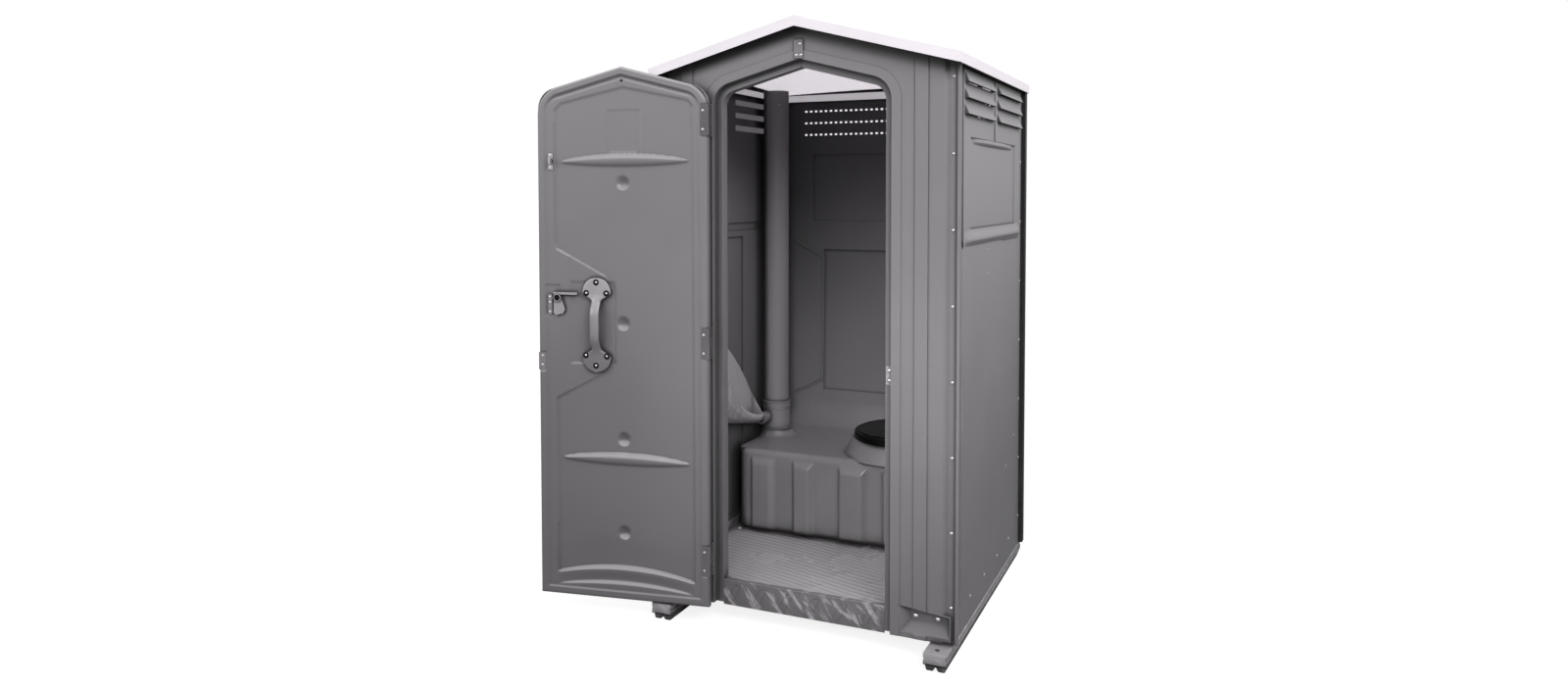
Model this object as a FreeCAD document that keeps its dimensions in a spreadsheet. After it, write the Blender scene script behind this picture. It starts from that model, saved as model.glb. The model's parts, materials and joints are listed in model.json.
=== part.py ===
import FreeCAD, Part
import math
import os
import re
import Sketcher
from FreeCAD import Matrix, Placement, Rotation, Vector

# Portable toilet cabin: moulded panels riveted to a floor pan on two skids, with a hung door,
# a waste tank with seat and lid, a urinal and a vent pipe. X is to the right seen from the front,
# the front faces -Y, Z is up. The origin is on the ground under the middle of the cabin.
# The door stands open, as in the picture. Sizes are in millimetres.

document = FreeCAD.newDocument("portable_toilet_cabin")
sheet = document.addObject("Spreadsheet::Sheet", "dims")
nodes = []
PLANES = {"XY": ("XY_Plane", 1), "XZ": ("XZ_Plane", -1), "YZ": ("YZ_Plane", 1)}
AXES = {"x": Rotation(Vector(0, 1, 0), 90), "y": Rotation(Vector(1, 0, 0), -90), "z": Rotation()}
NOT_SIZES = ("sqrt", "tan", "sin", "cos", "abs")


# Driving dimensions, which the sheet holds under the same names in small letters

# Shell of the cabin
HALF_WIDTH = 559
HALF_DEPTH = 579
SHEET_WALL = 4
CORNER_FLANGE = 17
PANEL_BOTTOM = 65
WALL_TOP = 1957

# Doorway: clear opening, the rebate around it that the door closes into, the bead around the rebate
OPENING_HALF = 303
OPENING_APEX = 1975
GABLE_SLOPE = 0.267
OPENING_ROUND = 55
REBATE_WIDTH = 26
REBATE_DEPTH = 24
BEAD_WIDTH = 33
BEAD_PROUD = 2
JAMB_DEPTH = 40
JAMB_LIFT = 4
PLATE_HALF = 17
PLATE_LOW = 0.5
PLATE_HIGH = 64
PLATE_THICK = 5
PLATE_RIVET_TOP = 76
PLATE_RIVET_LOW = 38
PLATE_RIVET_ASIDE = 8.5
PLATE_RIVET_SHIFT = 4
STRIKE_LOW = 902
STRIKE_LONG = 62
STRIKE_WIDE = 21
STRIKE_THICK = 2
STRIKE_SCREW_IN = 14

# Front panel ribs and the cove along its corner, where it is riveted
STRIP_START = 409
STRIP_WIDTH = 45
STRIP_PROUD = 3
COVE_START = 507
COVE_DEPTH = 10
COVE_FLAT = 24
COVE_SLOPE = 14
COVE_BACK = 1.5
CORNER_LAND = 10
CUT_BEYOND = 9
FOOT_INNER = 395
FOOT_OUTER = 532
FOOT_LOW = 77
FOOT_SLOPE_TOP = 119
FOOT_HIGH = 170
FOOT_SLANT = 31
FOOT_SLANT_TOP = 43
FOOT_RISE = 4
FOOT_CORNER_DROP = 17
FOOT_BACK_DROP = 15
FOOT_BOLT_INNER = 17
FOOT_BOLT_OUTER = 44
FOOT_BOLT_UP = 15

# Roof
ROOF_HALF = 566
ROOF_FRONT = 46
ROOF_REAR = 7
ROOF_EDGE = 1990
ROOF_WALL = 3
FASCIA = 34
ROOF_CROWN = 205
ROOF_ROUNDNESS = 0.6
ROOF_FALL = 1.5
ROOF_LEDGE = 30
ROOF_JOIN = 24
ROOF_ENDING = 4
ROOF_STEPS = 8

# Side and rear walls
WALL_FRONT = 565
WALL_REAR = 545
WALL_FLANGE = 28
LOUVRE_INNER = 40
LOUVRE_OUTER = 470
LOUVRE_LOW = 1803
LOUVRE_PITCH = 53
LOUVRE_HEIGHT = 34
LOUVRE_PROUD = 14
LOUVRE_SLOT = 24
LOUVRE_LIP = 3
LOUVRE_ROWS = 3
FIELD_MARGIN = 15
FIELD_DROP = 39
FIELD_TOP_GAP = 7
PRESS_SLOPE = 8
RIB_OVER_WINDOW = 12
WALL_FOOT_GAP = 5
WINDOW_HALF = 378
WINDOW_LOW = 1418
WINDOW_HIGH = 1724
WINDOW_PRESS = 5
PAN_HALF = 115
PAN_LOW = 190
PAN_HIGH = 1372
PAN_SLOPE = 70
PAN_FOOT_SLOPE = 30
PAN_PRESS = 8
REAR_PLANE = 571
REAR_RETURN = 67
REAR_PAN_HALF = 350
REAR_PAN_LOW = 640
REAR_PAN_HIGH = 1290
VENT_HOLE = 12
VENT_PITCH = 24
VENT_HALF = 444
VENT_TALL = 8
VENT_LIFT = 4
HOOD_LONG = 12
HOOD_TOP = 26
HOOD_LESS = 6
REAR_WINDOW_MARGIN = 22
REAR_WINDOW_DROP = 10
TRIM_COVER = 39
TRIM_GAP = 1

# Floor pan, sill and skids
SKID_TOP = 62
FLOOR_TOP = 145
FLOOR_RIM = 180
FLOOR_WALL = 4
FLOOR_FRONT = 551
SILL_LOW = 56
SILL_NOSE = 18
SILL_FACE = 4
SILL_PROUD = 1.5
FOLDS = 6
FOLD_LOW = 12
FOLD_TOP_GAP = 14
FOLD_WIDE = 34
FOLD_SLANT = 22
NOSE_PROUD = 1.5
NOSE_DROP = 4
NOSE_RISE = 4
PAN_BOLT_REAR = 450
SKID_INNER = 465
SKID_OUTER = 542
SKID_FRONT = 661
SKID_REAR = 600
SKID_NOTCH = 15
SKID_CHAMFER = 24
SKID_TOE = 9
SKID_HEEL = 40
SKID_EDGE = 8
SKID_EDGE_RISE = 2
SKID_TOE_CUT = 12
HEEL_RISE = 6
BOSS_OVER = 9
BOSS_WALL = 7
ANCHOR_SPREAD = 500
ANCHOR_RADIUS = 8
ANCHOR_DEPTH = 40
TOW_HOLE = 9
TOW_FROM_END = 35
SKID_GROOVE = 3
GROOVE_LOW = 40
GROOVE_HIGH = 46

# Tank
TANK_SIDE_GAP = 18
TANK_HALF = HALF_WIDTH - CORNER_FLANGE - SHEET_WALL - TANK_SIDE_GAP
TANK_FRONT = 5
TANK_REAR = 560
TANK_HIGH = 480
TANK_REAR_HIGH = 500
TANK_WALL = 6
TANK_RIB = 90
TANK_RIB_PITCH = 190
TANK_RIB_PROUD = 16
TANK_RIB_TOP = 424
TANK_RIB_CHAMFER = 11
SEAT_ACROSS = 125
SEAT_ALONG = 215
PEDESTAL_FOOT = 232
PEDESTAL_RIM = 194
PEDESTAL_HIGH = 545
BOWL_HOLE = 135
TANK_CORNER = 60
TANK_RIB_START = 445
TANK_RIBS = 5
TANK_STEP = 150
TANK_NOSE = 22
TANK_NOSE_DROP = 26
PEDESTAL_WALL = 7
RIM_THICK = 6
SHELF_HALF = 110
SHELF_WALL = 5
SHELF_OVERLAP = 70
SHELF_BEHIND = 20
LUG_WIDE = 60
LUG_UP = 15

# Seat and lid
SEAT_HALF = 185
SEAT_LONG = 205
SEAT_THICK = 20
SEAT_HOLE = 112
SEAT_HOLE_LONG = 150
LID_THICK = 14
SEAT_PIN_RADIUS = 5
SEAT_EAR = 14
SEAT_EAR_SPREAD = 80
PIN_BEHIND = 12
PIN_RISE = 15
EYE_RADIUS = 10
LID_EDGE = 8
LID_INSET = 14
LID_LIFT = 0.6
EAR_REACH = 34
LID_EAR_REACH = 22
EAR_GAP = 2
BRACKET_LONG = 24
PIN_OVER = 4
FIT = 0.3

# Vent pipe, tee and urinal
PIPE_ACROSS = 474
PIPE_ALONG = 320
PIPE_RADIUS = 55
PIPE_WALL = 3
PIPE_TOP = 1985
BOSS_FOOT = 78
BOSS_RIM = 62
BOSS_HIGH = 25
TEE_LOW = 517
TEE_HIGH = 600
TEE_RADIUS = 60
COLLAR_HIGH = 632
COLLAR_RADIUS = 63
BRANCH_RADIUS = 24
BRANCH_LEVEL = 566
BRANCH_ACROSS = 496
BRANCH_WALL = 4
BRANCH_INTO = 32
GROMMET_OVER = 2
PIPE_SCREW_DOWN = 60

# Urinal: a chute on the left wall that falls to the tee
URINAL_FRONT = 300
URINAL_END = 198
URINAL_STEPS = 8
URINAL_WALL = 5
URINAL_FOOT = 543
URINAL_FALL = 99
URINAL_LIP = 580
URINAL_LIP_RISE = 298
URINAL_RIM = 672
URINAL_RIM_RISE = 318
URINAL_DEEP = 60
URINAL_DEEPER = 50
URINAL_PAD_WIDE = 36
URINAL_PAD_HIGH = 30
DRAIN_WALL = 3
DRAIN_INTO = 12

# Door
DOOR_GAP = 5
DOOR_PROUD = 8
DOOR_THICK = 30
DOOR_BOTTOM = 65
DOOR_SKIN = 3
DOOR_INNER = 11
DOOR_RECESS = 8
DOOR_OPEN = 169.1
BORDER_DROP = 2
BORDER_DEEP = 3
BORDER_WIDE = 2
BORDER_FOOT = 46
PANEL_RISE = 3
RECESS_BOW = 38
DIMPLE_RADIUS = 21
DIMPLE_DEEP = 5
LENS_HALF = 239
LENS_BOW = 23
LENS_TOP_SHORT = 35
LENS_RISE = 6
LENS_PROUD = 8
LENS_TOP_BOW = 3
LABEL_START = 252
LABEL_END = 377
LABEL_LOW = 1683
LABEL_HIGH = 1841
THUMB_START = 560
THUMB_END = 618
THUMB_LOW = 1204
THUMB_HIGH = 1230
EYE_HOLE = 4
EYE_LEVEL = 1946
DOOR_MIDDLE = 320
HINGE_AHEAD = 8
HINGE_ASIDE = 3

# Hinges
HINGE_TOP = 1800
HINGE_MIDDLE = 1010
HINGE_LOW = 231
HINGE_LONG = 110
BARREL_RADIUS = 6
PIN_RADIUS = 2.5
LEAF_THICK = 2.5
LEAF_WIDE = 36
KNUCKLE_GAP = 0.4
LEAF_FLANGE = 28.7
LEAF_WEB = 2.4
LEAF_SCREW_ACROSS = 17
LEAF_SCREW_IN = 12
LEAF_SCREW_SHARE = 0.3
LEAF_BACK_GAP = 4
HINGE_PIN_OVER = 2

# Latch and handle, placed on the closed door
PIVOT_ACROSS = 246
PIVOT_LEVEL = 1164
BOLT_LEVEL = 1217
BOLT_HIGH = 10
BOLT_THICK = 3
BOLT_THROW = 27
SPINDLE_RADIUS = 5
LEVER_HUB = 14
CAM_TURN = 30
CAM_PIN = 3
BOLT_BEHIND = 11
BOLT_SLOT_SIDE = 0.4
BOLT_SLOT_END = 3
BOLT_TAIL = 11
CAM_GAP = 0.4
KNOB_RADIUS = 24
KNOB_HIGH = 6
GRIP_LONG = 44
GRIP_THICK = 11
GRIP_HIGH = 20
PLATE_METAL = 2
EDGE_PLATE_START = 621
EDGE_PLATE_END = 660
EDGE_PLATE_LOW = 893
EDGE_PLATE_HIGH = 962
EDGE_PLATE_DROP = 4
HOOK_REACH = 26
LEVER_THICK = 12
LEVER_START = 492
LEVER_LOW = 1176
LEVER_HIGH = 1184
HANDLE_ACROSS = 94
HANDLE_LOW = 897
HANDLE_HIGH = 1238
HANDLE_REACH = 40
HANDLE_GRIP = 13
HANDLE_FOOT = 34
HANDLE_PAD = 55
HANDLE_NECK = 18
HANDLE_END_UP = 16
HANDLE_PAD_UP = 60
HANDLE_NECK_UP = 130
HANDLE_PAD_THICK = 12
HANDLE_ARCH = 9
HANDLE_GAP_START = 84

# Fasteners
RIVET_HEAD = 6
RIVET_RISE = 3
RIVET_SHANK = 2.4
BOLT_HEAD = 10
BOLT_HEAD_HIGH = 6
BOLT_SHANK = 4
SCREW_HEAD = 4.5
SCREW_RISE = 2
SCREW_SHANK = 2
RIVET_HIGH = 1917
RIVET_PITCH = 247.6
FLOOR_RIVET_LEVEL = 144
FLOOR_RIVET_PITCH = 222
RIVETS_UP = 8
FLOOR_RIVETS = 4
RIVET_FROM_EDGE = 25
REAR_RIVET_IN = 16

# Paper holder and roll
ROLL_RADIUS = 55
ROLL_LONG = 105
ROLL_ALONG = -99
ROLL_LEVEL = 1270
ROLL_FROM_WALL = 72
HOLDER_ARM = 3
HOLDER_PLATE = 3
HOLDER_ROD = 18
HOLDER_LOW = 38
HOLDER_HIGH = 86
HOLDER_TIP = 24
HOLDER_PAST = 20
HOLDER_SCREW_HIGH = 68
HOLDER_SCREW_LOW = 19


def fill_sheet(sizes):
    """Writes each size on its own row of the sheet, under its name."""
    for row, (name, size) in enumerate(sizes, start=1):
        sheet.set(f"A{row}", name.lower())
        sheet.set(f"B{row}", str(size))
        sheet.setAlias(f"B{row}", name.lower())
    document.recompute()


fill_sheet([(name, size) for name, size in dict(globals()).items()
            if name.isupper() and isinstance(size, (int, float))])


def bind(text):
    """Turns a formula in the sizes' names into one that reads the sheet."""
    return re.sub(r"[a-z_]{3,}", lambda w: w[0] if w[0] in NOT_SIZES else "dims." + w[0], text)


ruler = document.addObject("App::FeaturePython", "ruler")


def value(text):
    return float(ruler.evalExpression(bind(text)))


# Places that several pieces share, as formulas
SIDE_OUT = "(half_width - corner_flange)"
SIDE_IN = "(half_width - corner_flange - sheet_wall)"
STOP = "(rebate_depth - half_depth)"
SLANT = "sqrt(1 + gable_slope * gable_slope)"
REAR_IN = "(rear_plane - sheet_wall)"
DOOR_OUT = "(0 - half_depth - door_proud)"
DOOR_IN = "(door_thick - half_depth - door_proud)"
DOOR_HALF = "(opening_half + rebate_width - door_gap)"
BOLT_Y = f"({DOOR_OUT} + door_skin + bolt_behind)"
HINGE_X = "(0 - opening_half - rebate_width + door_gap - hinge_aside)"
HINGE_Y = "(0 - half_depth - door_proud - hinge_ahead)"


# Tools for the pieces

def new_body(name):
    return document.addObject("PartDesign::Body", name)


def keep(piece, label):
    """Names a finished sub-part after its node."""
    piece.Label = label
    nodes.append(piece)
    return piece


def put(thing, prop, text):
    thing.setExpression(prop, bind(text))


def sketch_on(body, plane, at):
    """A sketch across the body, on the plane where the third coordinate is at."""
    role, sign = PLANES[plane]
    sketch = body.newObject("Sketcher::SketchObject", "outline")
    origin = next(f for f in body.Origin.OriginFeatures if f.Role == role)
    sketch.AttachmentSupport = [(origin, "")]
    sketch.MapMode = "FlatFace"
    put(sketch, "AttachmentOffset.Base.z", f"{sign} * ({at})")
    return sketch


def draw_edge(sketch, start, end, rise):
    """A line, or an arc that stands rise to the right of it. Returns which ends are start and end."""
    a = Vector(start[0], start[1], 0)
    b = Vector(end[0], end[1], 0)
    if not rise:
        sketch.addGeometry(Part.LineSegment(a, b), False)
        return 1, 2
    across = (b - a).normalize()
    middle = (a + b) * 0.5 + Vector(across.y, -across.x, 0) * rise
    sketch.addGeometry(Part.Arc(a, middle, b), False)
    return (1, 2) if rise > 0 else (2, 1)


def outline(sketch, corners):
    """Closes an outline through corners (across, up, rise), each held by its own two sizes."""
    spots = [(value(c[0]), value(c[1])) for c in corners]
    rises = [value(c[2]) if len(c) > 2 else 0 for c in corners]
    ends = []
    first = sketch.GeometryCount
    for i, spot in enumerate(spots):
        ends.append(draw_edge(sketch, spot, spots[(i + 1) % len(spots)], rises[i]))
    for i, corner in enumerate(corners):
        here = first + i
        after = (i + 1) % len(corners)
        sketch.addConstraint(Sketcher.Constraint("Coincident", here, ends[i][1], first + after, ends[after][0]))
        sizes = (("DistanceX", corner[0], spots[i][0]), ("DistanceY", corner[1], spots[i][1]))
        for kind, text, size in sizes:
            held = sketch.addConstraint(Sketcher.Constraint(kind, -1, 1, here, ends[i][0], size))
            put(sketch, f"Constraints[{held}]", text)
        if rises[i]:
            far = corners[after]
            chord = f"((({far[0]}) - ({corner[0]}))^2 + (({far[1]}) - ({corner[1]}))^2)"
            size = sketch.Geometry[here].Radius
            held = sketch.addConstraint(Sketcher.Constraint("Radius", here, size))
            put(sketch, f"Constraints[{held}]", f"({chord} / 4 + ({corner[2]})^2) / (2 * abs({corner[2]}))")


def circle(sketch, across, up, radius):
    number = sketch.addGeometry(Part.Circle(Vector(value(across), value(up), 0), Vector(0, 0, 1), value(radius)))
    for kind, text in (("DistanceX", across), ("DistanceY", up)):
        held = sketch.addConstraint(Sketcher.Constraint(kind, -1, 1, number, 3, value(text)))
        put(sketch, f"Constraints[{held}]", text)
    held = sketch.addConstraint(Sketcher.Constraint("Radius", number, value(radius)))
    put(sketch, f"Constraints[{held}]", radius)


def extrude(body, sketch, plane, depth, cut):
    """Pads or pockets a sketch towards the positive axis, and checks that it changed the solid."""
    before = body.Shape.Volume if body.Tip else 0
    feature = body.newObject("PartDesign::Pocket" if cut else "PartDesign::Pad", "cut" if cut else "added")
    feature.Profile = sketch
    feature.Reversed = (plane == "XZ") != cut
    put(feature, "Length", depth)
    body.Tip = feature
    document.recompute()
    grown = body.Shape.Volume - before
    if (grown >= -1e-3 if cut else grown <= 1e-3):
        raise ValueError(f"{body.Name}: {feature.Name} changed nothing")
    return feature


def block(body, plane, at, depth, corners, cut=False):
    sketch = sketch_on(body, plane, at)
    outline(sketch, corners)
    return extrude(body, sketch, plane, depth, cut)


def drum(body, plane, at, depth, places, radius, cut=False):
    """Round bosses or holes at several places, in one feature."""
    sketch = sketch_on(body, plane, at)
    for across, up in places:
        circle(sketch, across, up, radius)
    return extrude(body, sketch, plane, depth, cut)


def rectangle(left, right, low, high):
    return [(left, low), (right, low), (right, high), (left, high)]


def soften(body, radius, chosen):
    """Fillets the edges that chosen picks."""
    base = body.Tip
    edges = [f"Edge{i}" for i, e in enumerate(base.Shape.Edges, start=1) if chosen(e)]
    feature = body.newObject("PartDesign::Fillet", "softened")
    feature.Base = (base, edges)
    put(feature, "Radius", radius)
    body.Tip = feature
    document.recompute()
    return feature


def primitive(kind, name, base, axis="z", **sizes):
    """A Part primitive whose sizes and place are bound to the sheet."""
    thing = document.addObject(f"Part::{kind}", name)
    thing.Placement.Rotation = AXES[axis]
    for prop, text in sizes.items():
        put(thing, prop, text)
    for letter, text in zip("xyz", base):
        put(thing, f"Placement.Base.{letter}", text)
    return thing


def rod(name, base, axis, radius, length):
    return primitive("Cylinder", name, base, axis, Radius=radius, Height=length)


def joined(name, pieces):
    thing = document.addObject("Part::MultiFuse", name)
    thing.Shapes = pieces
    document.recompute()
    return thing


def less(name, base, tool):
    thing = document.addObject("Part::Cut", name)
    thing.Base = base
    thing.Tool = tool
    document.recompute()
    return thing


def group(name, pieces):
    thing = document.addObject("Part::Compound", name)
    thing.Links = pieces
    document.recompute()
    return thing


def mirrored(name, source):
    """The same piece on the other side of the middle plane."""
    thing = document.addObject("Part::Mirroring", name)
    thing.Source = source
    thing.Normal = Vector(1, 0, 0)
    document.recompute()
    return thing


def shaped(name, shape):
    """A piece whose form no primitive or sketch gives."""
    thing = document.addObject("Part::Feature", name)
    thing.Shape = shape
    return thing


def hang(piece):
    """Turns a piece drawn on the closed door to where the open door stands."""
    put(piece, "Placement.Rotation.Angle", "0 - door_open")
    x, y = HINGE_X, HINGE_Y
    put(piece, "Placement.Base.x", f"{x} - {x} * cos(door_open) - {y} * sin(door_open)")
    put(piece, "Placement.Base.y", f"{y} + {x} * sin(door_open) - {y} * cos(door_open)")
    return piece


def domed(places, direction, head, rise, shank, length):
    """Round-headed fasteners as one shape: the head stands on the surface, the shank goes in."""
    turned = Rotation(Vector(0, 0, 1), direction)
    sphere = (head * head + rise * rise) / (2 * rise)
    ball = Part.makeSphere(sphere, Vector(0, 0, rise - sphere))
    cap = ball.common(Part.makeCylinder(head, rise, Vector(0, 0, 0)))
    one = cap.fuse(Part.makeCylinder(shank, length, Vector(0, 0, -length))).removeSplitter()
    copies = []
    for place in places:
        copy = one.copy()
        copy.Placement = Placement(Vector(*place), turned)
        copies.append(copy)
    return Part.makeCompound(copies)


def shanks(places, direction, shank, length):
    """The holes that such fasteners need."""
    turned = Rotation(Vector(0, 0, 1), direction)
    holes = []
    for place in places:
        hole = Part.makeCylinder(shank, 2 * length, Vector(0, 0, -length))
        hole.Placement = Placement(Vector(*place), turned)
        holes.append(hole)
    return Part.makeCompound(holes)


def between(body, plane, near, near_corners, far, far_corners, cut=False):
    """A tapered block or pocket between two outlines with as many corners."""
    profile = sketch_on(body, plane, near)
    outline(profile, near_corners)
    section = sketch_on(body, plane, far)
    outline(section, far_corners)
    document.recompute()
    before = body.Shape.Volume if body.Tip else 0
    kind = "PartDesign::SubtractiveLoft" if cut else "PartDesign::AdditiveLoft"
    feature = body.newObject(kind, "tapered")
    feature.Profile = profile
    feature.Sections = [section]
    feature.Ruled = True
    body.Tip = feature
    document.recompute()
    grown = body.Shape.Volume - before
    if (grown >= -1e-3 if cut else grown <= 1e-3):
        raise ValueError(f"{body.Name}: {feature.Name} changed nothing")
    return feature


# The doorway's outline, which the rebate, the bead and the door follow at their own distances

SHOULDER = f"({SLANT} - gable_slope)"
DOOR_OFFSET = "(rebate_width - door_gap)"


def arch(offset):
    """Half width, shoulder ends, apex and the shoulder's bulge of the doorway moved outwards."""
    half = f"(opening_half + {offset})"
    apex = f"(opening_apex + {offset} * {SLANT})"
    bend = f"((opening_round + {offset}) * {SHOULDER})"
    rise = f"((opening_round + {offset}) * (1 - 1 / sqrt(1 + {SHOULDER} * {SHOULDER})))"
    corner = f"({apex} - gable_slope * {half})"
    low = f"({corner} - {bend})"
    high = (f"({half} - {bend} / {SLANT})", f"({corner} + {bend} * gable_slope / {SLANT})")
    return half, low, high, apex, rise


def half_band(inner, outer, bottom):
    """The right half of a band around the doorway."""
    in_half, in_low, in_high, in_apex, in_rise = arch(inner)
    half, low, high, apex, rise = arch(outer)
    outside = [(in_half, bottom), (half, bottom), (half, low, rise), high, ("0", apex)]
    return outside + [("0", in_apex), (*in_high, f"0 - {in_rise}"), (in_half, in_low)]


def whole_arch(offset, bottom):
    """The full outline of a door leaf, from one bottom corner round to the other."""
    half, low, high, apex, rise = arch(offset)
    left = f"0 - {half}"
    right_side = [(left, bottom), (half, bottom), (half, low, rise), high]
    return right_side + [("0", apex), (f"0 - {high[0]}", high[1], rise), (left, low)]


def roof_line(across):
    """Height of the front panels' top edge, just under the roof."""
    return f"(roof_edge + gable_slope * (roof_half - {across}) - roof_wall * {SLANT} - fit)"


# Front panels: face, rebate, stop, jamb, strip, cove and riveted corner, with a foot recess

def front_half():
    body = new_body("front_half")
    half, low, high, apex, rise = arch("rebate_width")
    bottom = [(half, "panel_bottom"), ("cove_start", "panel_bottom"), ("cove_start", roof_line("cove_start"))]
    top = [("0", roof_line("0")), ("0", apex), (*high, f"0 - {rise}"), (half, low)]
    block(body, "XZ", "0 - half_depth", "sheet_wall", bottom + top)
    wall_reach = "rebate_depth + sheet_wall"
    block(body, "XZ", "0 - half_depth", wall_reach,
          half_band("rebate_width", "rebate_width + sheet_wall", "panel_bottom"))
    block(body, "XZ", STOP, "sheet_wall", half_band("0", "rebate_width + sheet_wall", "panel_bottom"))
    block(body, "XZ", STOP, "jamb_depth", half_band("0", "sheet_wall", "floor_top + jamb_lift"))
    block(body, "XZ", "0 - half_depth - bead_proud", "bead_proud + sheet_wall",
          half_band("rebate_width", "rebate_width + bead_width", "panel_bottom"))
    strip_end = "strip_start + strip_width"
    strip_top = [(strip_end, roof_line(f"({strip_end})")), ("strip_start", roof_line("strip_start"))]
    block(body, "XZ", "0 - half_depth - strip_proud", "strip_proud + sheet_wall",
          [("strip_start", "panel_bottom"), (strip_end, "panel_bottom")] + strip_top)
    slope_end = "cove_start + cove_slope"
    cove = [("cove_start", "0 - half_depth"), (slope_end, "0 - half_depth + cove_depth"),
            (f"{slope_end} + cove_flat", "0 - half_depth + cove_depth"),
            ("half_width - corner_land", "0 - half_depth"), ("half_width", "0 - half_depth"),
            ("half_width", "0 - wall_front"), (f"{slope_end} - cove_back", "0 - wall_front"),
            ("cove_start - cove_back", "0 - half_depth + sheet_wall")]
    block(body, "XY", "panel_bottom", "roof_edge - panel_bottom", cove)
    above = "roof_edge + half_width"
    outside = "(half_width + cut_beyond)"
    block(body, "XZ", "0 - half_depth - cut_beyond", "half_depth - wall_front + 2 * cut_beyond",
          [("strip_start", roof_line("strip_start")), (outside, roof_line(outside)),
           (outside, above), ("strip_start", above)], cut=True)
    add_foot_recess(body)
    return body


def foot_outline(wall, back):
    """The recess at the foot of the corner, on the face or at its back, grown by a wall."""
    left_low = ("foot_inner", "foot_slope_top") if back else ("foot_inner - foot_slant", "foot_low")
    left_high = ("foot_inner", "foot_high - foot_back_drop")
    if not back:
        left_high = ("foot_inner - foot_slant_top", "foot_high + foot_rise")
    right = "foot_outer"
    right_high = "foot_high - foot_corner_drop"
    low = f"{left_low[1]} - {wall}"
    return [(f"{left_low[0]} - {wall}", low), (f"{right} + {wall}", low),
            (f"{right} + {wall}", f"{right_high} + {wall}"),
            (f"{left_high[0]} - {wall}", f"{left_high[1]} + {wall}")]


def add_foot_recess(body):
    face = "0 - half_depth - strip_proud"
    between(body, "XZ", "0 - half_depth", foot_outline("sheet_wall", False),
            f"{STOP} + sheet_wall", foot_outline("sheet_wall", True))
    between(body, "XZ", f"{face} - 1", foot_outline("0", False), STOP, foot_outline("0", True), cut=True)


# Places of the fasteners that several pieces share

def rivet_levels():
    return [value(f"rivet_high - {i} * rivet_pitch") for i in range(RIVETS_UP)]


RIVET_X = value("half_width - rivet_from_edge")
FRONT_RIVETS = [(side * RIVET_X, value("0 - half_depth + cove_depth"), level)
                for side in (-1, 1) for level in rivet_levels()]
PLATE_RIVETS = [(x, value("0 - half_depth - plate_thick"), value(f"opening_apex + {up}")) for x, up in (
    (PLATE_RIVET_SHIFT, "plate_rivet_top"), (-PLATE_RIVET_ASIDE, "plate_rivet_low"),
    (PLATE_RIVET_ASIDE, "plate_rivet_low"))]
FOOT_BOLTS = [(side * value(x), value(STOP), value("foot_slope_top + foot_bolt_up")) for side in (-1, 1)
              for x in ("foot_inner + foot_bolt_inner", "foot_outer - foot_bolt_outer")]
REAR_RIVET_Y = value("wall_rear - rear_rivet_in")
FRONT = Vector(0, -1, 0)
BACK = Vector(0, 1, 0)


def outwards(side):
    return Vector(side, 0, 0)


def holed(name, base, cuts):
    """A piece with holes for fasteners taken out of it."""
    tool = shaped(f"{name}_holes", cuts[0] if len(cuts) == 1 else Part.makeCompound(cuts))
    return less(name, base, tool)


def front_panels():
    right_form = front_half()
    left_form = mirrored("front_half_left", right_form)
    shank = value("rivet_shank + fit")
    bolt = value("bolt_shank + fit")
    common = [shanks(FRONT_RIVETS, FRONT, shank, 20), shanks(PLATE_RIVETS, FRONT, shank, 20),
              shanks(FOOT_BOLTS, FRONT, bolt, 12)]
    slot = bolt_slot(value("opening_half + rebate_width - 3"), value("sheet_wall + 6"), BOLT_SLOT_END)
    keep(holed("front_right_panel", right_form, common + [slot, strike_holes(), strike_blank()]), "front_right_panel")
    keep(holed("front_left_panel", left_form, common + [frame_leaf_holes()]), "front_left_panel")


def bolt_slot(start, length, over):
    """The opening that the bolt slides through, in the door's edge and behind the panel's face."""
    side = value("bolt_thick / 2 + bolt_slot_side")
    return Part.makeBox(length, 2 * side, value("bolt_high") + 2 * over, Vector(
        start, value(BOLT_Y) - side, value("bolt_level - bolt_high / 2") - over))


STRIKE_SCREWS = [(value("opening_half + rebate_width / 2"), value(f"{STOP} - 2"), value(level))
                 for level in ("strike_low + strike_screw_in", "strike_low + strike_long - strike_screw_in")]


def strike_blank():
    """The strike plate's own block, let into the stop."""
    left = value("opening_half + (rebate_width - strike_wide) / 2 + 0.5")
    return Part.makeBox(STRIKE_WIDE, STRIKE_THICK, STRIKE_LONG, Vector(left, value(STOP), STRIKE_LOW))


def strike_holes():
    return shanks(STRIKE_SCREWS, FRONT, value("screw_shank + fit"), 12)


# Hinges: three of them, each a frame leaf, a door leaf and a pin

HINGES = (("hinge_top", "hinge_top"), ("hinge_middle", "hinge_middle"), ("hinge_bottom", "hinge_low"))


def leaf_spots(level):
    return [value(f"{level} + {side} * leaf_screw_share * hinge_long") for side in ("0 - 1", 1)]


def frame_screws():
    x = value(f"{HINGE_X} - leaf_wide + leaf_screw_in")
    y = value("0 - half_depth - leaf_thick - bead_proud")
    return [(x, y, z) for name, level in HINGES for z in leaf_spots(level)]


def frame_leaf_holes():
    return shanks(frame_screws(), FRONT, value("screw_shank + fit"), 20)


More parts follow.
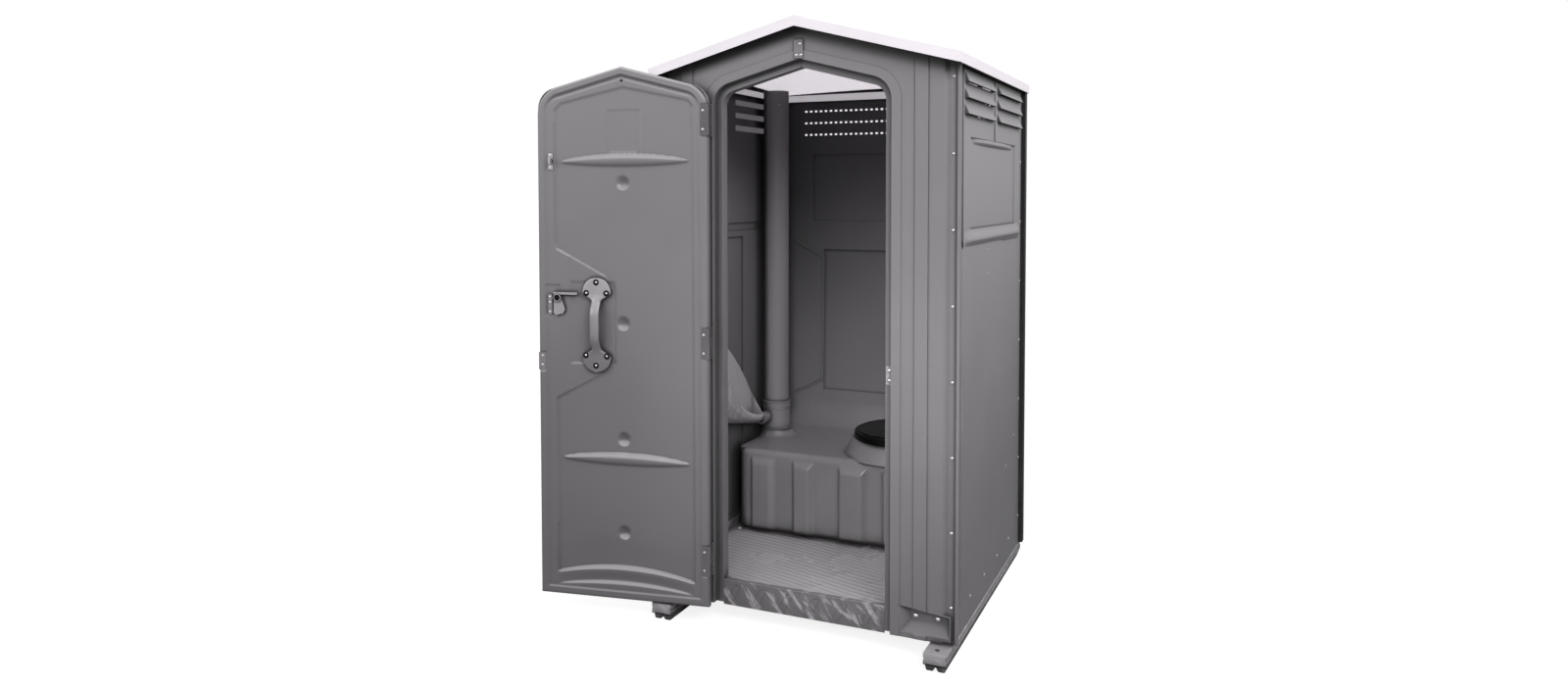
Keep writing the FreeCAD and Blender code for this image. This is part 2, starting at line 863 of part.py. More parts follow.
def gable_joint_plate():
    """Covers the seam of the two front panels over the doorway."""
    body = new_body("joint_plate")
    apex = arch("rebate_width")[3]
    block(body, "XZ", "0 - half_depth - plate_thick", "plate_thick",
          rectangle("0 - plate_half", "plate_half", f"{apex} + plate_low", f"{apex} + plate_high"))
    far_apex = arch("rebate_width + bead_width")[3]
    reach = "(plate_half + bead_proud)"
    for side in (f"0 - {reach}", reach):
        corners = [("0", apex), (side, f"{apex} - gable_slope * {reach}"),
                   (side, f"{far_apex} - gable_slope * {reach}"), ("0", far_apex)]
        block(body, "XZ", "0 - half_depth - bead_proud", "bead_proud", corners, cut=True)
    keep(holed("gable_joint_plate", body, [shanks(PLATE_RIVETS, FRONT, value("rivet_shank + fit"), 20)]),
         "gable_joint_plate")


# Side walls: a plate with a proud field that holds the louvres and the window panel

def side_wall():
    body = new_body("side_wall")
    inner, outer, proud = SIDE_IN, SIDE_OUT, "window_press"
    block(body, "YZ", inner, "sheet_wall", rectangle("0 - wall_front", "wall_rear", "panel_bottom", "wall_top"))
    block(body, "XZ", "0 - wall_front", "sheet_wall",
          rectangle(f"{inner} - wall_flange", inner, "panel_bottom", "wall_top"))
    flange = f"{inner} - wall_flange - 1"
    block(body, "XZ", "0 - wall_front", "sheet_wall",
          rectangle(flange, inner, "panel_bottom - 1", "foot_high - wall_foot_gap"), cut=True)
    edge, low, high = "(louvre_outer + field_margin)", "window_low - field_drop", "wall_top - field_top_gap"
    block(body, "YZ", outer, proud, rectangle(f"0 - {edge}", edge, low, high))
    inside = rectangle(f"sheet_wall - {edge}", f"{edge} - sheet_wall", f"{low} + sheet_wall", "window_low")
    block(body, "YZ", inner, proud, inside, cut=True)
    near_half, slope = "window_half + press_slope", "press_slope"
    between(body, "YZ", f"{outer} + {proud}",
            rectangle(f"0 - ({near_half})", near_half, f"window_low - {slope}", f"window_high + {slope}"),
            outer, rectangle("0 - window_half", "window_half", "window_low", "window_high"), cut=True)
    between(body, "YZ", f"{outer} - 1",
            rectangle(f"0 - {edge}", "pan_half + pan_slope", "pan_low - pan_foot_slope", "pan_high"),
            f"{outer} + {proud}", rectangle(f"{slope} - {edge}", "pan_half", "pan_low", f"pan_high - {slope}"))
    block(body, "YZ", inner, proud,
          rectangle(f"{slope} + sheet_wall - {edge}", "pan_half - sheet_wall", "pan_low + sheet_wall",
                    f"pan_high - {slope} - sheet_wall"), cut=True)
    add_louvres(body)
    return body


def add_louvres(body):
    """Two columns of three hoods, each over a slot that is open below."""
    skin = f"({SIDE_OUT} + window_press)"
    levels = [f"(louvre_low + {i} * louvre_pitch)" for i in range(LOUVRE_ROWS)]
    for side in (-1, 1):
        near = "louvre_inner" if side > 0 else "(0 - louvre_outer)"
        reach = "louvre_outer - louvre_inner"
        out = f"{skin} + louvre_proud"
        hoods = [[(f"{skin} - 1", z), (out, z), (out, f"{z} + louvre_lip"),
                  (skin, f"{z} + louvre_height"), (f"{skin} - 1", f"{z} + louvre_height")] for z in levels]
        slots = [[(f"{SIDE_IN} - 1", z), (f"{SIDE_IN} - 1", f"{z} + louvre_slot"),
                  (f"{skin} + 1", f"{z} + louvre_slot"), (f"{out} - louvre_lip", z)] for z in levels]
        several(body, "XZ", near, reach, hoods)
        several(body, "XZ", f"{near} + sheet_wall", f"{reach} - 2 * sheet_wall", slots, cut=True)
    block(body, "YZ", skin, "sheet_wall", rectangle("0 - louvre_inner / 3", "louvre_inner / 3",
          "window_high + rib_over_window", "wall_top - field_top_gap"))


def several(body, plane, at, depth, outlines, cut=False):
    sketch = sketch_on(body, plane, at)
    for corners in outlines:
        outline(sketch, corners)
    return extrude(body, sketch, plane, depth, cut)


BOTTOM_RIVETS = [(i - (FLOOR_RIVETS - 1) / 2) * FLOOR_RIVET_PITCH for i in range(FLOOR_RIVETS)]
HOLDER_SPOTS = [(ROLL_ALONG, ROLL_LEVEL + up) for up in (HOLDER_SCREW_HIGH, -HOLDER_SCREW_LOW)]
TANK_SPOTS = [(423, 549), (270, 457)]
FIELD_X = value(f"{SIDE_OUT} + window_press")
WALL_X = value(SIDE_OUT)


def wall_rivets(side):
    rear = [(side * WALL_X, REAR_RIVET_Y, level) for level in rivet_levels()]
    return rear + [(side * WALL_X, y, value("floor_rivet_level")) for y in BOTTOM_RIVETS]


def tank_fixings(side):
    return [(side * WALL_X, y, z) for y, z in TANK_SPOTS]


def side_walls():
    form = side_wall()
    shank = value("rivet_shank + fit")
    screw = value("screw_shank + fit")
    holder = [(FIELD_X, y, z) for y, z in HOLDER_SPOTS]
    urinal = [(-FIELD_X, y, z) for y, z in URINAL_SPOTS]
    for side, label, source in ((1, "right_wall", form), (-1, "left_wall", mirrored("side_wall_left", form))):
        outer = outwards(side)
        flange = [(x, value("0 - wall_front"), z) for x, y, z in FRONT_RIVETS if x * side > 0]
        others = shanks(holder if side > 0 else urinal, outer, screw, 20)
        cuts = [shanks(wall_rivets(side), outer, shank, 8), shanks(tank_fixings(side), outer, screw, 8),
                shanks(flange, FRONT, shank, 8), others]
        keep(holed(label, source, cuts), label)


URINAL_SPOTS = [(-210, 900), (30, 800)]


# Rear wall, with rows of vent holes under hoods, a window panel and a lower panel

def rear_wall():
    body = new_body("rear_wall_form")
    side = SIDE_IN
    block(body, "XZ", REAR_IN, "sheet_wall", rectangle(f"0 - {side}", side, "panel_bottom", "wall_top"))
    for name in (f"0 - {side}", f"{side} - sheet_wall"):
        block(body, "XZ", "rear_plane - rear_return", "rear_return - sheet_wall",
              rectangle(name, f"{name} + sheet_wall", "floor_rim + 2", "wall_top"))
    press_panel(body, "(window_half + rear_window_margin)", "window_low - rear_window_drop", "window_high - 3",
                "window_press")
    press_panel(body, "rear_pan_half", "rear_pan_low", "rear_pan_high", "pan_press")
    for i in range(LOUVRE_ROWS):
        add_vent_hood(body, vent_level(i))
    shank = value("rivet_shank + fit")
    sides = [shanks(rear_rivets(side), outwards(side), shank, 12) for side in (1, -1)]
    keep(holed("rear_wall", body, [vent_holes()] + sides), "rear_wall")


def vent_level(row):
    return f"(louvre_low + {row} * louvre_pitch + vent_lift)"


def add_vent_hood(body, level):
    """A long hood over one row of vent holes, open below."""
    foot, out = f"{level} - vent_tall", "rear_plane + louvre_proud - hood_less"
    hood = [("rear_plane - 1", f"{level} + hood_top"), ("rear_plane - 1", foot), (out, foot),
            (out, f"{foot} + louvre_lip"), ("rear_plane", f"{level} + hood_top")]
    slot = [("rear_plane", foot), (f"{out} - sheet_wall", foot), ("rear_plane", f"{level} + 2 * vent_tall")]
    half = "vent_half + hood_long"
    block(body, "YZ", f"0 - ({half})", f"2 * ({half})", hood)
    block(body, "YZ", f"sheet_wall - ({half})", f"2 * ({half} - sheet_wall)", slot, cut=True)


def vent_holes():
    count = int(2 * VENT_HALF / VENT_PITCH)
    start = (VENT_PITCH - VENT_HOLE) / 2 - count / 2 * VENT_PITCH
    holes = [Part.makeBox(VENT_HOLE, 2 * SHEET_WALL, VENT_TALL, Vector(
        start + k * VENT_PITCH, value(REAR_IN) - SHEET_WALL, value(vent_level(row)) - VENT_TALL / 2))
        for k in range(count) for row in range(LOUVRE_ROWS)]
    return Part.makeCompound(holes)


def rear_rivets(side):
    return [(side * WALL_X, REAR_RIVET_Y, level) for level in rivet_levels()]


def press_panel(body, half, low, high, proud):
    """A panel of the rear wall pressed out to the rear."""
    block(body, "XZ", "rear_plane", proud, rectangle(f"0 - {half}", half, low, high))
    block(body, "XZ", REAR_IN, proud, rectangle(f"sheet_wall - {half}", f"{half} - sheet_wall",
          f"{low} + sheet_wall", f"{high} - sheet_wall"), cut=True)


def rear_corner_trims():
    body = new_body("corner_trim")
    start, inner = "wall_rear + trim_gap", "half_width - trim_cover"
    corners = [(SIDE_IN, start), ("half_width", start), ("half_width", "half_depth"),
               (inner, "half_depth"), (inner, "rear_plane"), (SIDE_IN, "rear_plane")]
    block(body, "XY", "panel_bottom", "wall_top - panel_bottom", corners)
    keep(body, "rear_corner_trim_right")
    keep(mirrored("corner_trim_left", body), "rear_corner_trim_left")


# Roof: a thin translucent shell, a gable over the door that runs out into a rounded, hipped rear

def roof_height(along):
    """Rise of the ridge over the eaves at a place along the roof."""
    gable = value("gable_slope * roof_half")
    crown = value("roof_crown")
    start = value("half_depth - roof_join")
    if along <= 0:
        return crown - (crown - gable) * (along / start) ** 2
    end = value("half_depth + roof_rear")
    return max(crown * (1 - (along / end) ** ROOF_FALL), ROOF_ENDING)


def roof_section(along, half, drop):
    """A closed section of the roof: straight below, a curve from each eave to the ridge above."""
    start = value("half_depth - roof_join")
    power = 1 + ROOF_ROUNDNESS * min(1, 1 - min(0, along) ** 2 / start ** 2)
    edge, full = value("roof_edge"), value("roof_half")
    height = roof_height(along)
    curves = []
    for side in (-1, 1):
        points = []
        for k in range(ROOF_STEPS + 1):
            share = half * (1 - k / ROOF_STEPS)
            up = edge + height * (1 - (share / full) ** power) - drop
            points.append(Vector(side * share, along, up))
        curve = Part.BSplineCurve()
        curve.interpolate(points if side < 0 else points[::-1])
        curves.append(curve.toShape())
    low = value("wall_top") - (0 if drop == 0 else 20)
    foot = [Vector(half, along, low), Vector(-half, along, low)]
    ends = [curves[1].Vertexes[-1].Point, curves[0].Vertexes[0].Point]
    sides = [Part.LineSegment(ends[0], foot[0]).toShape(), Part.LineSegment(foot[0], foot[1]).toShape(),
             Part.LineSegment(foot[1], ends[1]).toShape()]
    return Part.Wire([curves[0], curves[1]] + sides)


def roof_dome(half, drop, end):
    stations = [value("roof_join - half_depth")] + [value(f"{k} * half_depth / 3") for k in (-2, -1, 0, 1, 2)]
    stations += [value("half_depth * 0.86"), end]
    return Part.makeLoft([roof_section(along, half, drop) for along in stations], True, False)


def gable_prism(half, front, back, drop, floor):
    """The straight gable over the door, from front to back."""
    edge, slope, full = value("roof_edge"), value("gable_slope"), value("roof_half")
    eave = edge + slope * (full - half) - drop
    points = [Vector(-half, front, floor), Vector(half, front, floor), Vector(half, front, eave),
              Vector(0, front, edge + slope * full - drop), Vector(-half, front, eave)]
    face = Part.Face(Part.makePolygon(points + points[:1]))
    return face.extrude(Vector(0, back - front, 0))


def roof():
    wall, full, top = value("roof_wall"), value("roof_half"), value("wall_top")
    drop = value(f"roof_wall * {SLANT}")
    front, join = value("0 - half_depth - roof_front"), value("roof_join - half_depth")
    rear = value("half_depth + roof_rear")
    outer = roof_dome(full, 0, rear).fuse(gable_prism(full, front, join, 0, top))
    inner = roof_dome(full - wall, drop, rear - wall).fuse(
        gable_prism(full - wall, front + wall, join, drop, top - 20))
    board = gable_prism(full - wall, front - 1, front + wall + 1, value("fascia"), top - 20)
    shell = outer.cut([inner, board])
    ledge_front = value("0 - wall_front")
    inset = value("roof_ledge")
    plate = Part.makeBox(2 * full - wall, rear - wall / 2 - ledge_front, wall,
                         Vector(wall / 2 - full, ledge_front, top))
    open_middle = Part.makeBox(2 * (full - wall / 2 - inset), rear - ledge_front - inset, wall,
                               Vector(inset + wall / 2 - full, ledge_front, top))
    keep(shaped("roof", shell.fuse(plate.cut(open_middle)).removeSplitter()), "roof")


# Floor pan, sill and skids

def floor_pan():
    body = new_body("floor_pan_form")
    wall, side, front, rear = "floor_wall", SIDE_IN, "(0 - floor_front)", REAR_IN
    block(body, "XY", "floor_top - floor_wall", wall, rectangle(f"0 - {side}", side, front, rear))
    for left in (f"0 - {side}", f"{side} - floor_wall"):
        edge = rectangle(left, f"{left} + floor_wall", front, rear)
        block(body, "XY", "skid_top", "floor_rim - skid_top", edge)
    block(body, "XY", "skid_top", "floor_rim - skid_top",
          rectangle(f"0 - {side}", side, f"{rear} - floor_wall", rear))
    block(body, "XY", "skid_top", "floor_top - skid_top - 1",
          rectangle(f"0 - {side}", side, front, f"{front} + floor_wall"))
    for left in ("0 - skid_inner - 5", "skid_inner + 1"):
        web = rectangle(left, f"{left} + floor_wall", front, rear)
        block(body, "XY", "skid_top", "floor_top - skid_top - 1", web)
    bolt = value("bolt_shank + fit")
    cuts = [shanks(FLOOR_BOLTS, Vector(0, 0, 1), bolt, 12), shanks(FOOT_BOLTS, FRONT, bolt, 16)]
    for side in (-1, 1):
        cuts.append(shanks([p for p in wall_rivets(side) if p[2] < value("floor_rim")], outwards(side),
                           value("rivet_shank + fit"), 16))
    keep(holed("floor_pan", body, cuts), "floor_pan")


FLOOR_BOLTS = [(side * value("(skid_inner + skid_outer) / 2"), y, value("floor_top"))
               for side in (-1, 1) for y in (-PAN_BOLT_REAR, 0)]


def sill_apron():
    """The moulded step below the doorway: an upright apron with a rounded nose over its top."""
    body = new_body("sill_apron")
    face = STOP
    block(body, "XZ", face, "sill_face", rectangle("0 - opening_half", "opening_half", "sill_low", "floor_top"))
    behind = "(0 - floor_front)"
    under, over = "floor_top - nose_drop", "floor_top + nose_rise"
    nose = [(f"{face} - sill_proud", "floor_top + nose_proud"), (f"{face} - 1", under), (behind, under),
            (behind, "floor_top"), (f"{face} + sill_nose", "floor_top"), (f"{face} + sill_nose", over),
            (f"{face} - 1", over)]
    block(body, "YZ", "0 - opening_half", "2 * opening_half", nose)
    low, high = "sill_low + fold_low", "floor_top - fold_top_gap"
    for i in range(FOLDS):
        left = f"(2 * opening_half / folds * {i} - opening_half + fold_low)"
        fold = [(left, low), (f"{left} + fold_wide", high), (f"{left} + fold_wide + fold_slant", high),
                (f"{left} + fold_slant", low)]
        block(body, "XZ", f"{face} - sill_proud", "sill_proud + 1", fold)
    keep(body, "sill_apron")


def skid():
    body = new_body("skid")
    left, right, middle = "skid_inner", "skid_outer", "((skid_inner + skid_outer) / 2)"
    shoulder = "skid_chamfer + skid_edge_rise"
    corners = [(left, shoulder), (f"{left} + skid_edge", "0"), (f"{middle} - skid_toe", "0"),
               (middle, "skid_notch"), (f"{middle} + skid_toe", "0"), (f"{right} - skid_edge", "0"),
               (right, shoulder), (right, "skid_top"), (left, "skid_top")]
    block(body, "XZ", "0 - skid_front", "skid_front + skid_rear", corners)
    heel = [("skid_rear - skid_heel", "0 - 1"), ("skid_rear + 1", "0 - 1"),
            ("skid_rear + 1", "skid_chamfer + heel_rise")]
    block(body, "YZ", left, f"{right} - {left}", heel, cut=True)
    toe = rectangle("0 - skid_front - 1", "skid_toe_cut - skid_front", "0 - 1", "skid_chamfer")
    block(body, "YZ", left, f"{right} - {left}", toe, cut=True)
    for edge in (left, f"{right} - skid_groove"):
        block(body, "XY", "groove_low", "groove_high - groove_low",
              rectangle(edge, f"{edge} + skid_groove", "0 - skid_front", "skid_rear"), cut=True)
    spots = [(middle, "anchor_spread"), (middle, "0 - anchor_spread")]
    drum(body, "XY", "0", "skid_notch + boss_over", spots, "anchor_radius + boss_wall")
    drum(body, "XY", "0", "anchor_depth", spots, "anchor_radius", cut=True)
    drum(body, "XY", "0", "skid_top", [(middle, "tow_from_end - skid_front")], "tow_hole", cut=True)
    return body


def skids():
    form = skid()
    bolt = value("bolt_shank + fit")
    for side, label, source in ((1, "skid_right", form), (-1, "skid_left", mirrored("skid_form_left", form))):
        spots = [p for p in FLOOR_BOLTS if p[0] * side > 0]
        deep = value("floor_top - skid_top + 30")
        keep(holed(label, source, [shanks(spots, Vector(0, 0, 1), bolt, deep)]), label)


# Waste tank with its ribs, pedestal and boss for the vent pipe

def tank_block(name, wall):
    """The tank's main block, or the space inside it when it is drawn in by a wall."""
    body = new_body(name)
    front, rear = f"(tank_front + {wall})", f"(tank_rear - {wall})"
    high, back_high = f"(tank_high - {wall})", f"(tank_rear_high - {wall})"
    foot, half = f"(floor_top + {wall})", f"(tank_half - {wall})"
    profile = [(front, foot), (rear, foot), (rear, back_high), (f"{rear} - tank_step", high),
               (f"{front} + tank_nose", high), (front, f"{high} - tank_nose_drop")]
    block(body, "YZ", f"0 - {half}", f"2 * {half}", profile)
    corner_x, corner_y = value(half), value(front)

    def upright(edge):
        box = edge.BoundBox
        thin = box.XLength < 0.01 and box.YLength < 0.01
        return thin and abs(abs(box.XMin) - corner_x) < 0.1 and abs(box.YMin - corner_y) < 0.1

    soften(body, f"tank_corner - {wall}", upright)
    return body


def add_tank_ribs(body):
    for i in range(TANK_RIBS):
        left = f"({i} * tank_rib_pitch - tank_rib_start)"
        shape = [(left, "floor_top"), (f"{left} + tank_rib", "floor_top"),
                 (f"{left} + tank_rib", "tank_rib_top - tank_rib_chamfer"),
                 (f"{left} + tank_rib - tank_rib_chamfer", "tank_rib_top"),
                 (f"{left} + tank_rib_chamfer", "tank_rib_top"), (left, "tank_rib_top - tank_rib_chamfer")]
        block(body, "XZ", "tank_front - tank_rib_proud", "tank_rib_proud + 3", shape)


PIN_Y = "(seat_along + seat_long + pin_behind)"
PIN_Z = "(pedestal_high + pin_rise)"


def waste_tank():
    form = tank_block("waste_tank_form", "0")
    add_tank_ribs(form)
    hollow = less("waste_tank_hollow", form, tank_block("tank_space", "tank_wall"))
    foot = Vector(SEAT_ACROSS, SEAT_ALONG, TANK_HIGH - 2 * TANK_WALL)
    seat_hole = Part.makeCylinder(BOWL_HOLE, PEDESTAL_HIGH, foot)
    opening = Part.makeCylinder(PEDESTAL_FOOT - PEDESTAL_WALL - 0.5, 5 * TANK_WALL, foot)
    boss, bore = pipe_boss()
    shape = hollow.Shape.cut(opening).fuse(pedestal().cut(seat_hole)).fuse(boss).cut([seat_hole, bore])
    shape = shape.fuse([pedestal_shelf()] + tank_lugs())
    screw = value("screw_shank + fit")
    lug_holes = [shanks(tank_fixings(side), outwards(side), screw, 14) for side in (-1, 1)]
    keep(shaped("waste_tank", shape.cut(lug_holes).removeSplitter()), "waste_tank")


def pedestal():
    """The hollow cone under the seat, closed by a flat rim."""
    middle = Vector(SEAT_ACROSS, SEAT_ALONG, TANK_HIGH)
    rise = PEDESTAL_HIGH - TANK_HIGH
    sunk = Vector(0, 0, 4)
    outside = Part.makeCone(PEDESTAL_FOOT, PEDESTAL_RIM, rise + sunk.z, middle - sunk)
    inner_foot, inner_rim = PEDESTAL_FOOT - PEDESTAL_WALL, PEDESTAL_RIM - PEDESTAL_WALL
    inside = Part.makeCone(inner_foot, inner_rim, rise - 2, middle - 2 * sunk)
    rim = Part.makeCylinder(PEDESTAL_RIM, RIM_THICK, middle + Vector(0, 0, rise - RIM_THICK))
    return outside.cut(inside).fuse(rim)


def pipe_boss():
    """The raised ring that the pipe's grommet stands on, cut to the tank's side, and its bore."""
    foot = Vector(-PIPE_ACROSS, PIPE_ALONG, TANK_HIGH - 4)
    ring = Part.makeCone(BOSS_FOOT, BOSS_RIM, BOSS_HIGH, foot)
    bore = Part.makeCylinder(value("pipe_radius - pipe_wall"), 60, foot - Vector(0, 0, 16))
    beyond = Part.makeBox(4 * BOSS_FOOT, 4 * BOSS_FOOT, TANK_HIGH, Vector(
        -TANK_HALF - 4 * BOSS_FOOT, foot.y - 2 * BOSS_FOOT, foot.z - 1))
    return ring.cut(beyond), bore


def tank_lugs():
    """Blocks at the tank's ends that the side walls are screwed to."""
    length = value(f"{SIDE_IN} - tank_half + tank_wall")
    lugs = []
    for left in (value("tank_half - tank_wall"), value(f"0 - {SIDE_IN}")):
        for y, z in TANK_SPOTS:
            foot = min(z, TANK_HIGH) - LUG_UP
            place = Vector(left, y - LUG_WIDE / 2, foot)
            lugs.append(Part.makeBox(length, LUG_WIDE, z + LUG_UP - foot, place))
    return lugs


def pedestal_shelf():
    """The hollow step behind the pedestal, which carries the seat's hinge."""
    start = value("seat_along + pedestal_rim - shelf_overlap")
    length = value(f"{PIN_Y} + shelf_behind") - start
    rise = PEDESTAL_HIGH - TANK_HIGH
    inner_half = SHELF_HALF - SHELF_WALL
    outside = Part.makeBox(2 * SHELF_HALF, length, rise + 3, Vector(
        SEAT_ACROSS - SHELF_HALF, start, TANK_HIGH - 3))
    inside = Part.makeBox(2 * inner_half, length - SHELF_WALL, rise + 2, Vector(
        SEAT_ACROSS - inner_half, start, TANK_HIGH - 8))
    foot = Vector(SEAT_ACROSS, SEAT_ALONG, TANK_HIGH - 4)
    tower = Part.makeCone(PEDESTAL_FOOT, PEDESTAL_RIM, rise + 4, foot)
    return outside.cut([inside, tower])


# Seat ring and lid, hinged on one pin behind them

def oval(half, long, low, high):
    """An elliptic disc around the seat's middle."""
    middle = Vector(value("seat_across"), value("seat_along"), low)
    long_axis = Vector(middle.x, middle.y + long, low)
    side_axis = Vector(middle.x + half, middle.y, low)
    ellipse = Part.Ellipse(long_axis, side_axis, middle)
    return Part.Face(Part.Wire(ellipse.toShape())).extrude(Vector(0, 0, high - low))


def ears(inner, low, edge):
    """Two ears that reach from the seat to the pin, with an eye each."""
    wide, y, z = value("seat_ear"), value(PIN_Y), value(PIN_Z)
    shapes = []
    for side in (-1, 1):
        left = value("seat_across") + (inner if side > 0 else -inner - wide)
        eye = Part.makeCylinder(EYE_RADIUS, wide, Vector(left, y, z), Vector(1, 0, 0))
        arm = Part.makeBox(wide, y - edge, EYE_RADIUS, Vector(left, edge, low))
        shapes += [eye, arm]
    return shapes


def pin_bore():
    return Part.makeCylinder(value("seat_pin_radius + fit"), 300, Vector(
        value("seat_across") - 150, value(PIN_Y), value(PIN_Z)), Vector(1, 0, 0))


def seat():
    half, long = value("seat_half"), value("seat_long")
    low = value("pedestal_high + fit")
    high = value("pedestal_high + seat_thick")
    ear_step = value("seat_ear + ear_gap")
    spread = value("seat_ear_spread")
    edge = value("seat_along + seat_long - ear_reach")
    ring = oval(half, long, low, high).fuse(ears(spread - ear_step, low + 4, edge))
    ring = ring.cut([oval(value("seat_hole"), value("seat_hole_long"), low - 1, high + 20), pin_bore()])
    keep(shaped("seat_ring", ring.removeSplitter()), "seat_ring")
    base = high + LID_LIFT
    plate = oval(half, long, base, base + LID_EDGE)
    crown = oval(half - LID_INSET, long - LID_INSET, base, base + LID_THICK)
    notches = [Part.makeBox(ear_step + 2, 60, 30, Vector(SEAT_ACROSS + x, value(PIN_Y) - 26, base - 20))
               for x in (spread - ear_step - 2, -spread)]
    lid_ears = ears(spread - 2 * ear_step, base, edge + EAR_REACH - LID_EAR_REACH)
    lid = plate.fuse(crown).cut(notches).fuse(lid_ears).cut(pin_bore())
    keep(shaped("seat_lid", lid.removeSplitter()), "seat_lid")
    blocks = []
    for side in (-1, 1):
        left = value("seat_across") + (spread if side > 0 else -spread - value("seat_ear"))
        foot = Part.makeBox(SEAT_EAR, BRACKET_LONG, PIN_RISE + 1, Vector(
            left, value(PIN_Y) - BRACKET_LONG / 2, PEDESTAL_HIGH))
        eye = Vector(left, value(PIN_Y), value(PIN_Z))
        top = Part.makeCylinder(EYE_RADIUS, SEAT_EAR, eye, Vector(1, 0, 0))
        blocks.append(foot.fuse(top).cut(pin_bore()).removeSplitter())
    keep(shaped("seat_hinge_brackets", Part.makeCompound(blocks)), "seat_hinge_brackets")
    reach = "(seat_ear_spread + seat_ear + pin_over)"
    keep(rod("seat_hinge_pin", (f"seat_across - {reach}", PIN_Y, PIN_Z), "x", "seat_pin_radius", f"2 * {reach}"),
         "seat_hinge_pin")


# Vent pipe, which stands on the tank, with its grommet, tee and collar

def tube(name, low, high, outer, inner):
    foot = ("0 - pipe_across", "pipe_along", low)
    shell = rod(f"{name}_outer", foot, "z", outer, f"{high} - ({low})")
    bore = rod(f"{name}_bore", foot, "z", inner, f"{high} - ({low})")
    return less(f"{name}_form", shell, bore)


def vent_pipe():
    boss_top = "(tank_high + boss_high - 4)"
    keep(tube("pipe_grommet", boss_top, "tee_low", "tee_radius + grommet_over", "pipe_radius"), "pipe_grommet")
    tee = tube("pipe_tee", "tee_low", "tee_high", "tee_radius", "pipe_radius - pipe_wall")
    start = "(urinal_end + 2 * fit)"
    long = f"pipe_along - branch_into - {start}"
    branch = rod("tee_branch", ("0 - branch_across", start, "branch_level"), "y", "branch_radius", long)
    bore = rod("tee_branch_bore", ("0 - branch_across", start, "branch_level"), "y",
               "branch_radius - branch_wall", f"{long} + branch_wall")
    whole = joined("pipe_tee_whole", [tee, branch])
    inside = rod("tee_inside", ("0 - pipe_across", "pipe_along", "tee_low"), "z", "pipe_radius - pipe_wall",
                 "tee_high - tee_low")
    keep(less("pipe_tee", less("pipe_tee_open", whole, inside), bore), "pipe_tee")
    keep(tube("pipe_collar", "tee_high", "collar_high", "collar_radius", "pipe_radius + fit"), "pipe_collar")
    pipe = tube("vent_pipe", "tee_high", "pipe_top", "pipe_radius", "pipe_radius - pipe_wall")
    facing = Vector(0.6, -0.8, 0)
    radius = value("pipe_radius")
    spot = [(value("0 - pipe_across") + radius * facing.x, value("pipe_along") + radius * facing.y,
             value("pipe_top - pipe_screw_down"))]
    keep(holed("vent_pipe", pipe, [shanks(spot, facing, value("screw_shank + fit"), 12)]), "vent_pipe")
    keep(shaped("pipe_screw", domed(spot, facing, value("screw_head"), value("screw_rise"),
                                    value("screw_shank"), 10)), "pipe_screw")


# Urinal: a chute on the left wall that falls to the tee

URINAL_BACK = value(f"2 * fit - {SIDE_IN}")


def urinal_section(step, wall):
    """One cross-section: a rounded bottom from wall to lip, and a straight line back up to the rim."""
    share = step / URINAL_STEPS
    low = URINAL_FOOT + URINAL_FALL * share + wall
    lip = URINAL_LIP + URINAL_LIP_RISE * share ** 2
    rim = URINAL_RIM + URINAL_RIM_RISE * (1 - (1 - share) ** 2)
    deep = URINAL_DEEP + URINAL_DEEPER * share ** 2 - 2 * wall
    along = URINAL_END - (URINAL_END + URINAL_FRONT) * share
    along += wall if step == URINAL_STEPS else -wall if step == 0 else 0
    bends = [math.radians(a) for a in (0, 22, 45, 68, 90)]
    points = [(URINAL_BACK + wall + deep * math.sin(a), low + (lip - low) * (1 - math.cos(a))) for a in bends]
    if wall:
        points += [(points[-1][0], rim + 8 * wall), (points[0][0], rim + 8 * wall)]
    else:
        points.append((URINAL_BACK, rim))
    corners = [Vector(x, along, z) for x, z in points]
    return Part.makePolygon(corners + corners[:1])


def urinal_form(wall):
    return Part.makeLoft([urinal_section(step, wall) for step in range(URINAL_STEPS, -1, -1)], True, True)


def urinal():
    wall_face = value(f"0 - {SIDE_IN} - window_press")
    pads = [Part.makeBox(URINAL_BACK - wall_face, URINAL_PAD_WIDE, URINAL_PAD_HIGH, Vector(
        wall_face, y - URINAL_PAD_WIDE / 2, z - URINAL_PAD_HIGH / 2)) for y, z in URINAL_SPOTS]
    spots = [(-FIELD_X, y, z) for y, z in URINAL_SPOTS]
    holes = shanks(spots, outwards(-1), value("screw_shank + fit"), 20)
    radius = value("branch_radius - branch_wall - 2 * fit")
    start = URINAL_END - URINAL_WALL
    place = Vector(-BRANCH_ACROSS, start, BRANCH_LEVEL)
    length = URINAL_WALL + DRAIN_INTO
    drain = Part.makeCylinder(radius, length, place, Vector(0, 1, 0))
    before = place - Vector(0, URINAL_WALL, 0)
    outlet = Part.makeCylinder(radius + FIT, length + URINAL_WALL, before, Vector(0, 1, 0))
    bowl = urinal_form(0).cut(urinal_form(URINAL_WALL))
    bowl = bowl.fuse(pads).cut([holes, outlet])
    keep(shaped("urinal_bowl", bowl.removeSplitter()), "urinal_bowl")
    screws = domed(spots, outwards(-1), SCREW_HEAD, SCREW_RISE, SCREW_SHANK, 13)
    keep(shaped("urinal_screws", screws), "urinal_screws")
    bore = Part.makeCylinder(radius - DRAIN_WALL, length, place, Vector(0, 1, 0))
    keep(shaped("urinal_drain", drain.cut(bore)), "urinal_drain")


# Paper holder and roll on the right wall

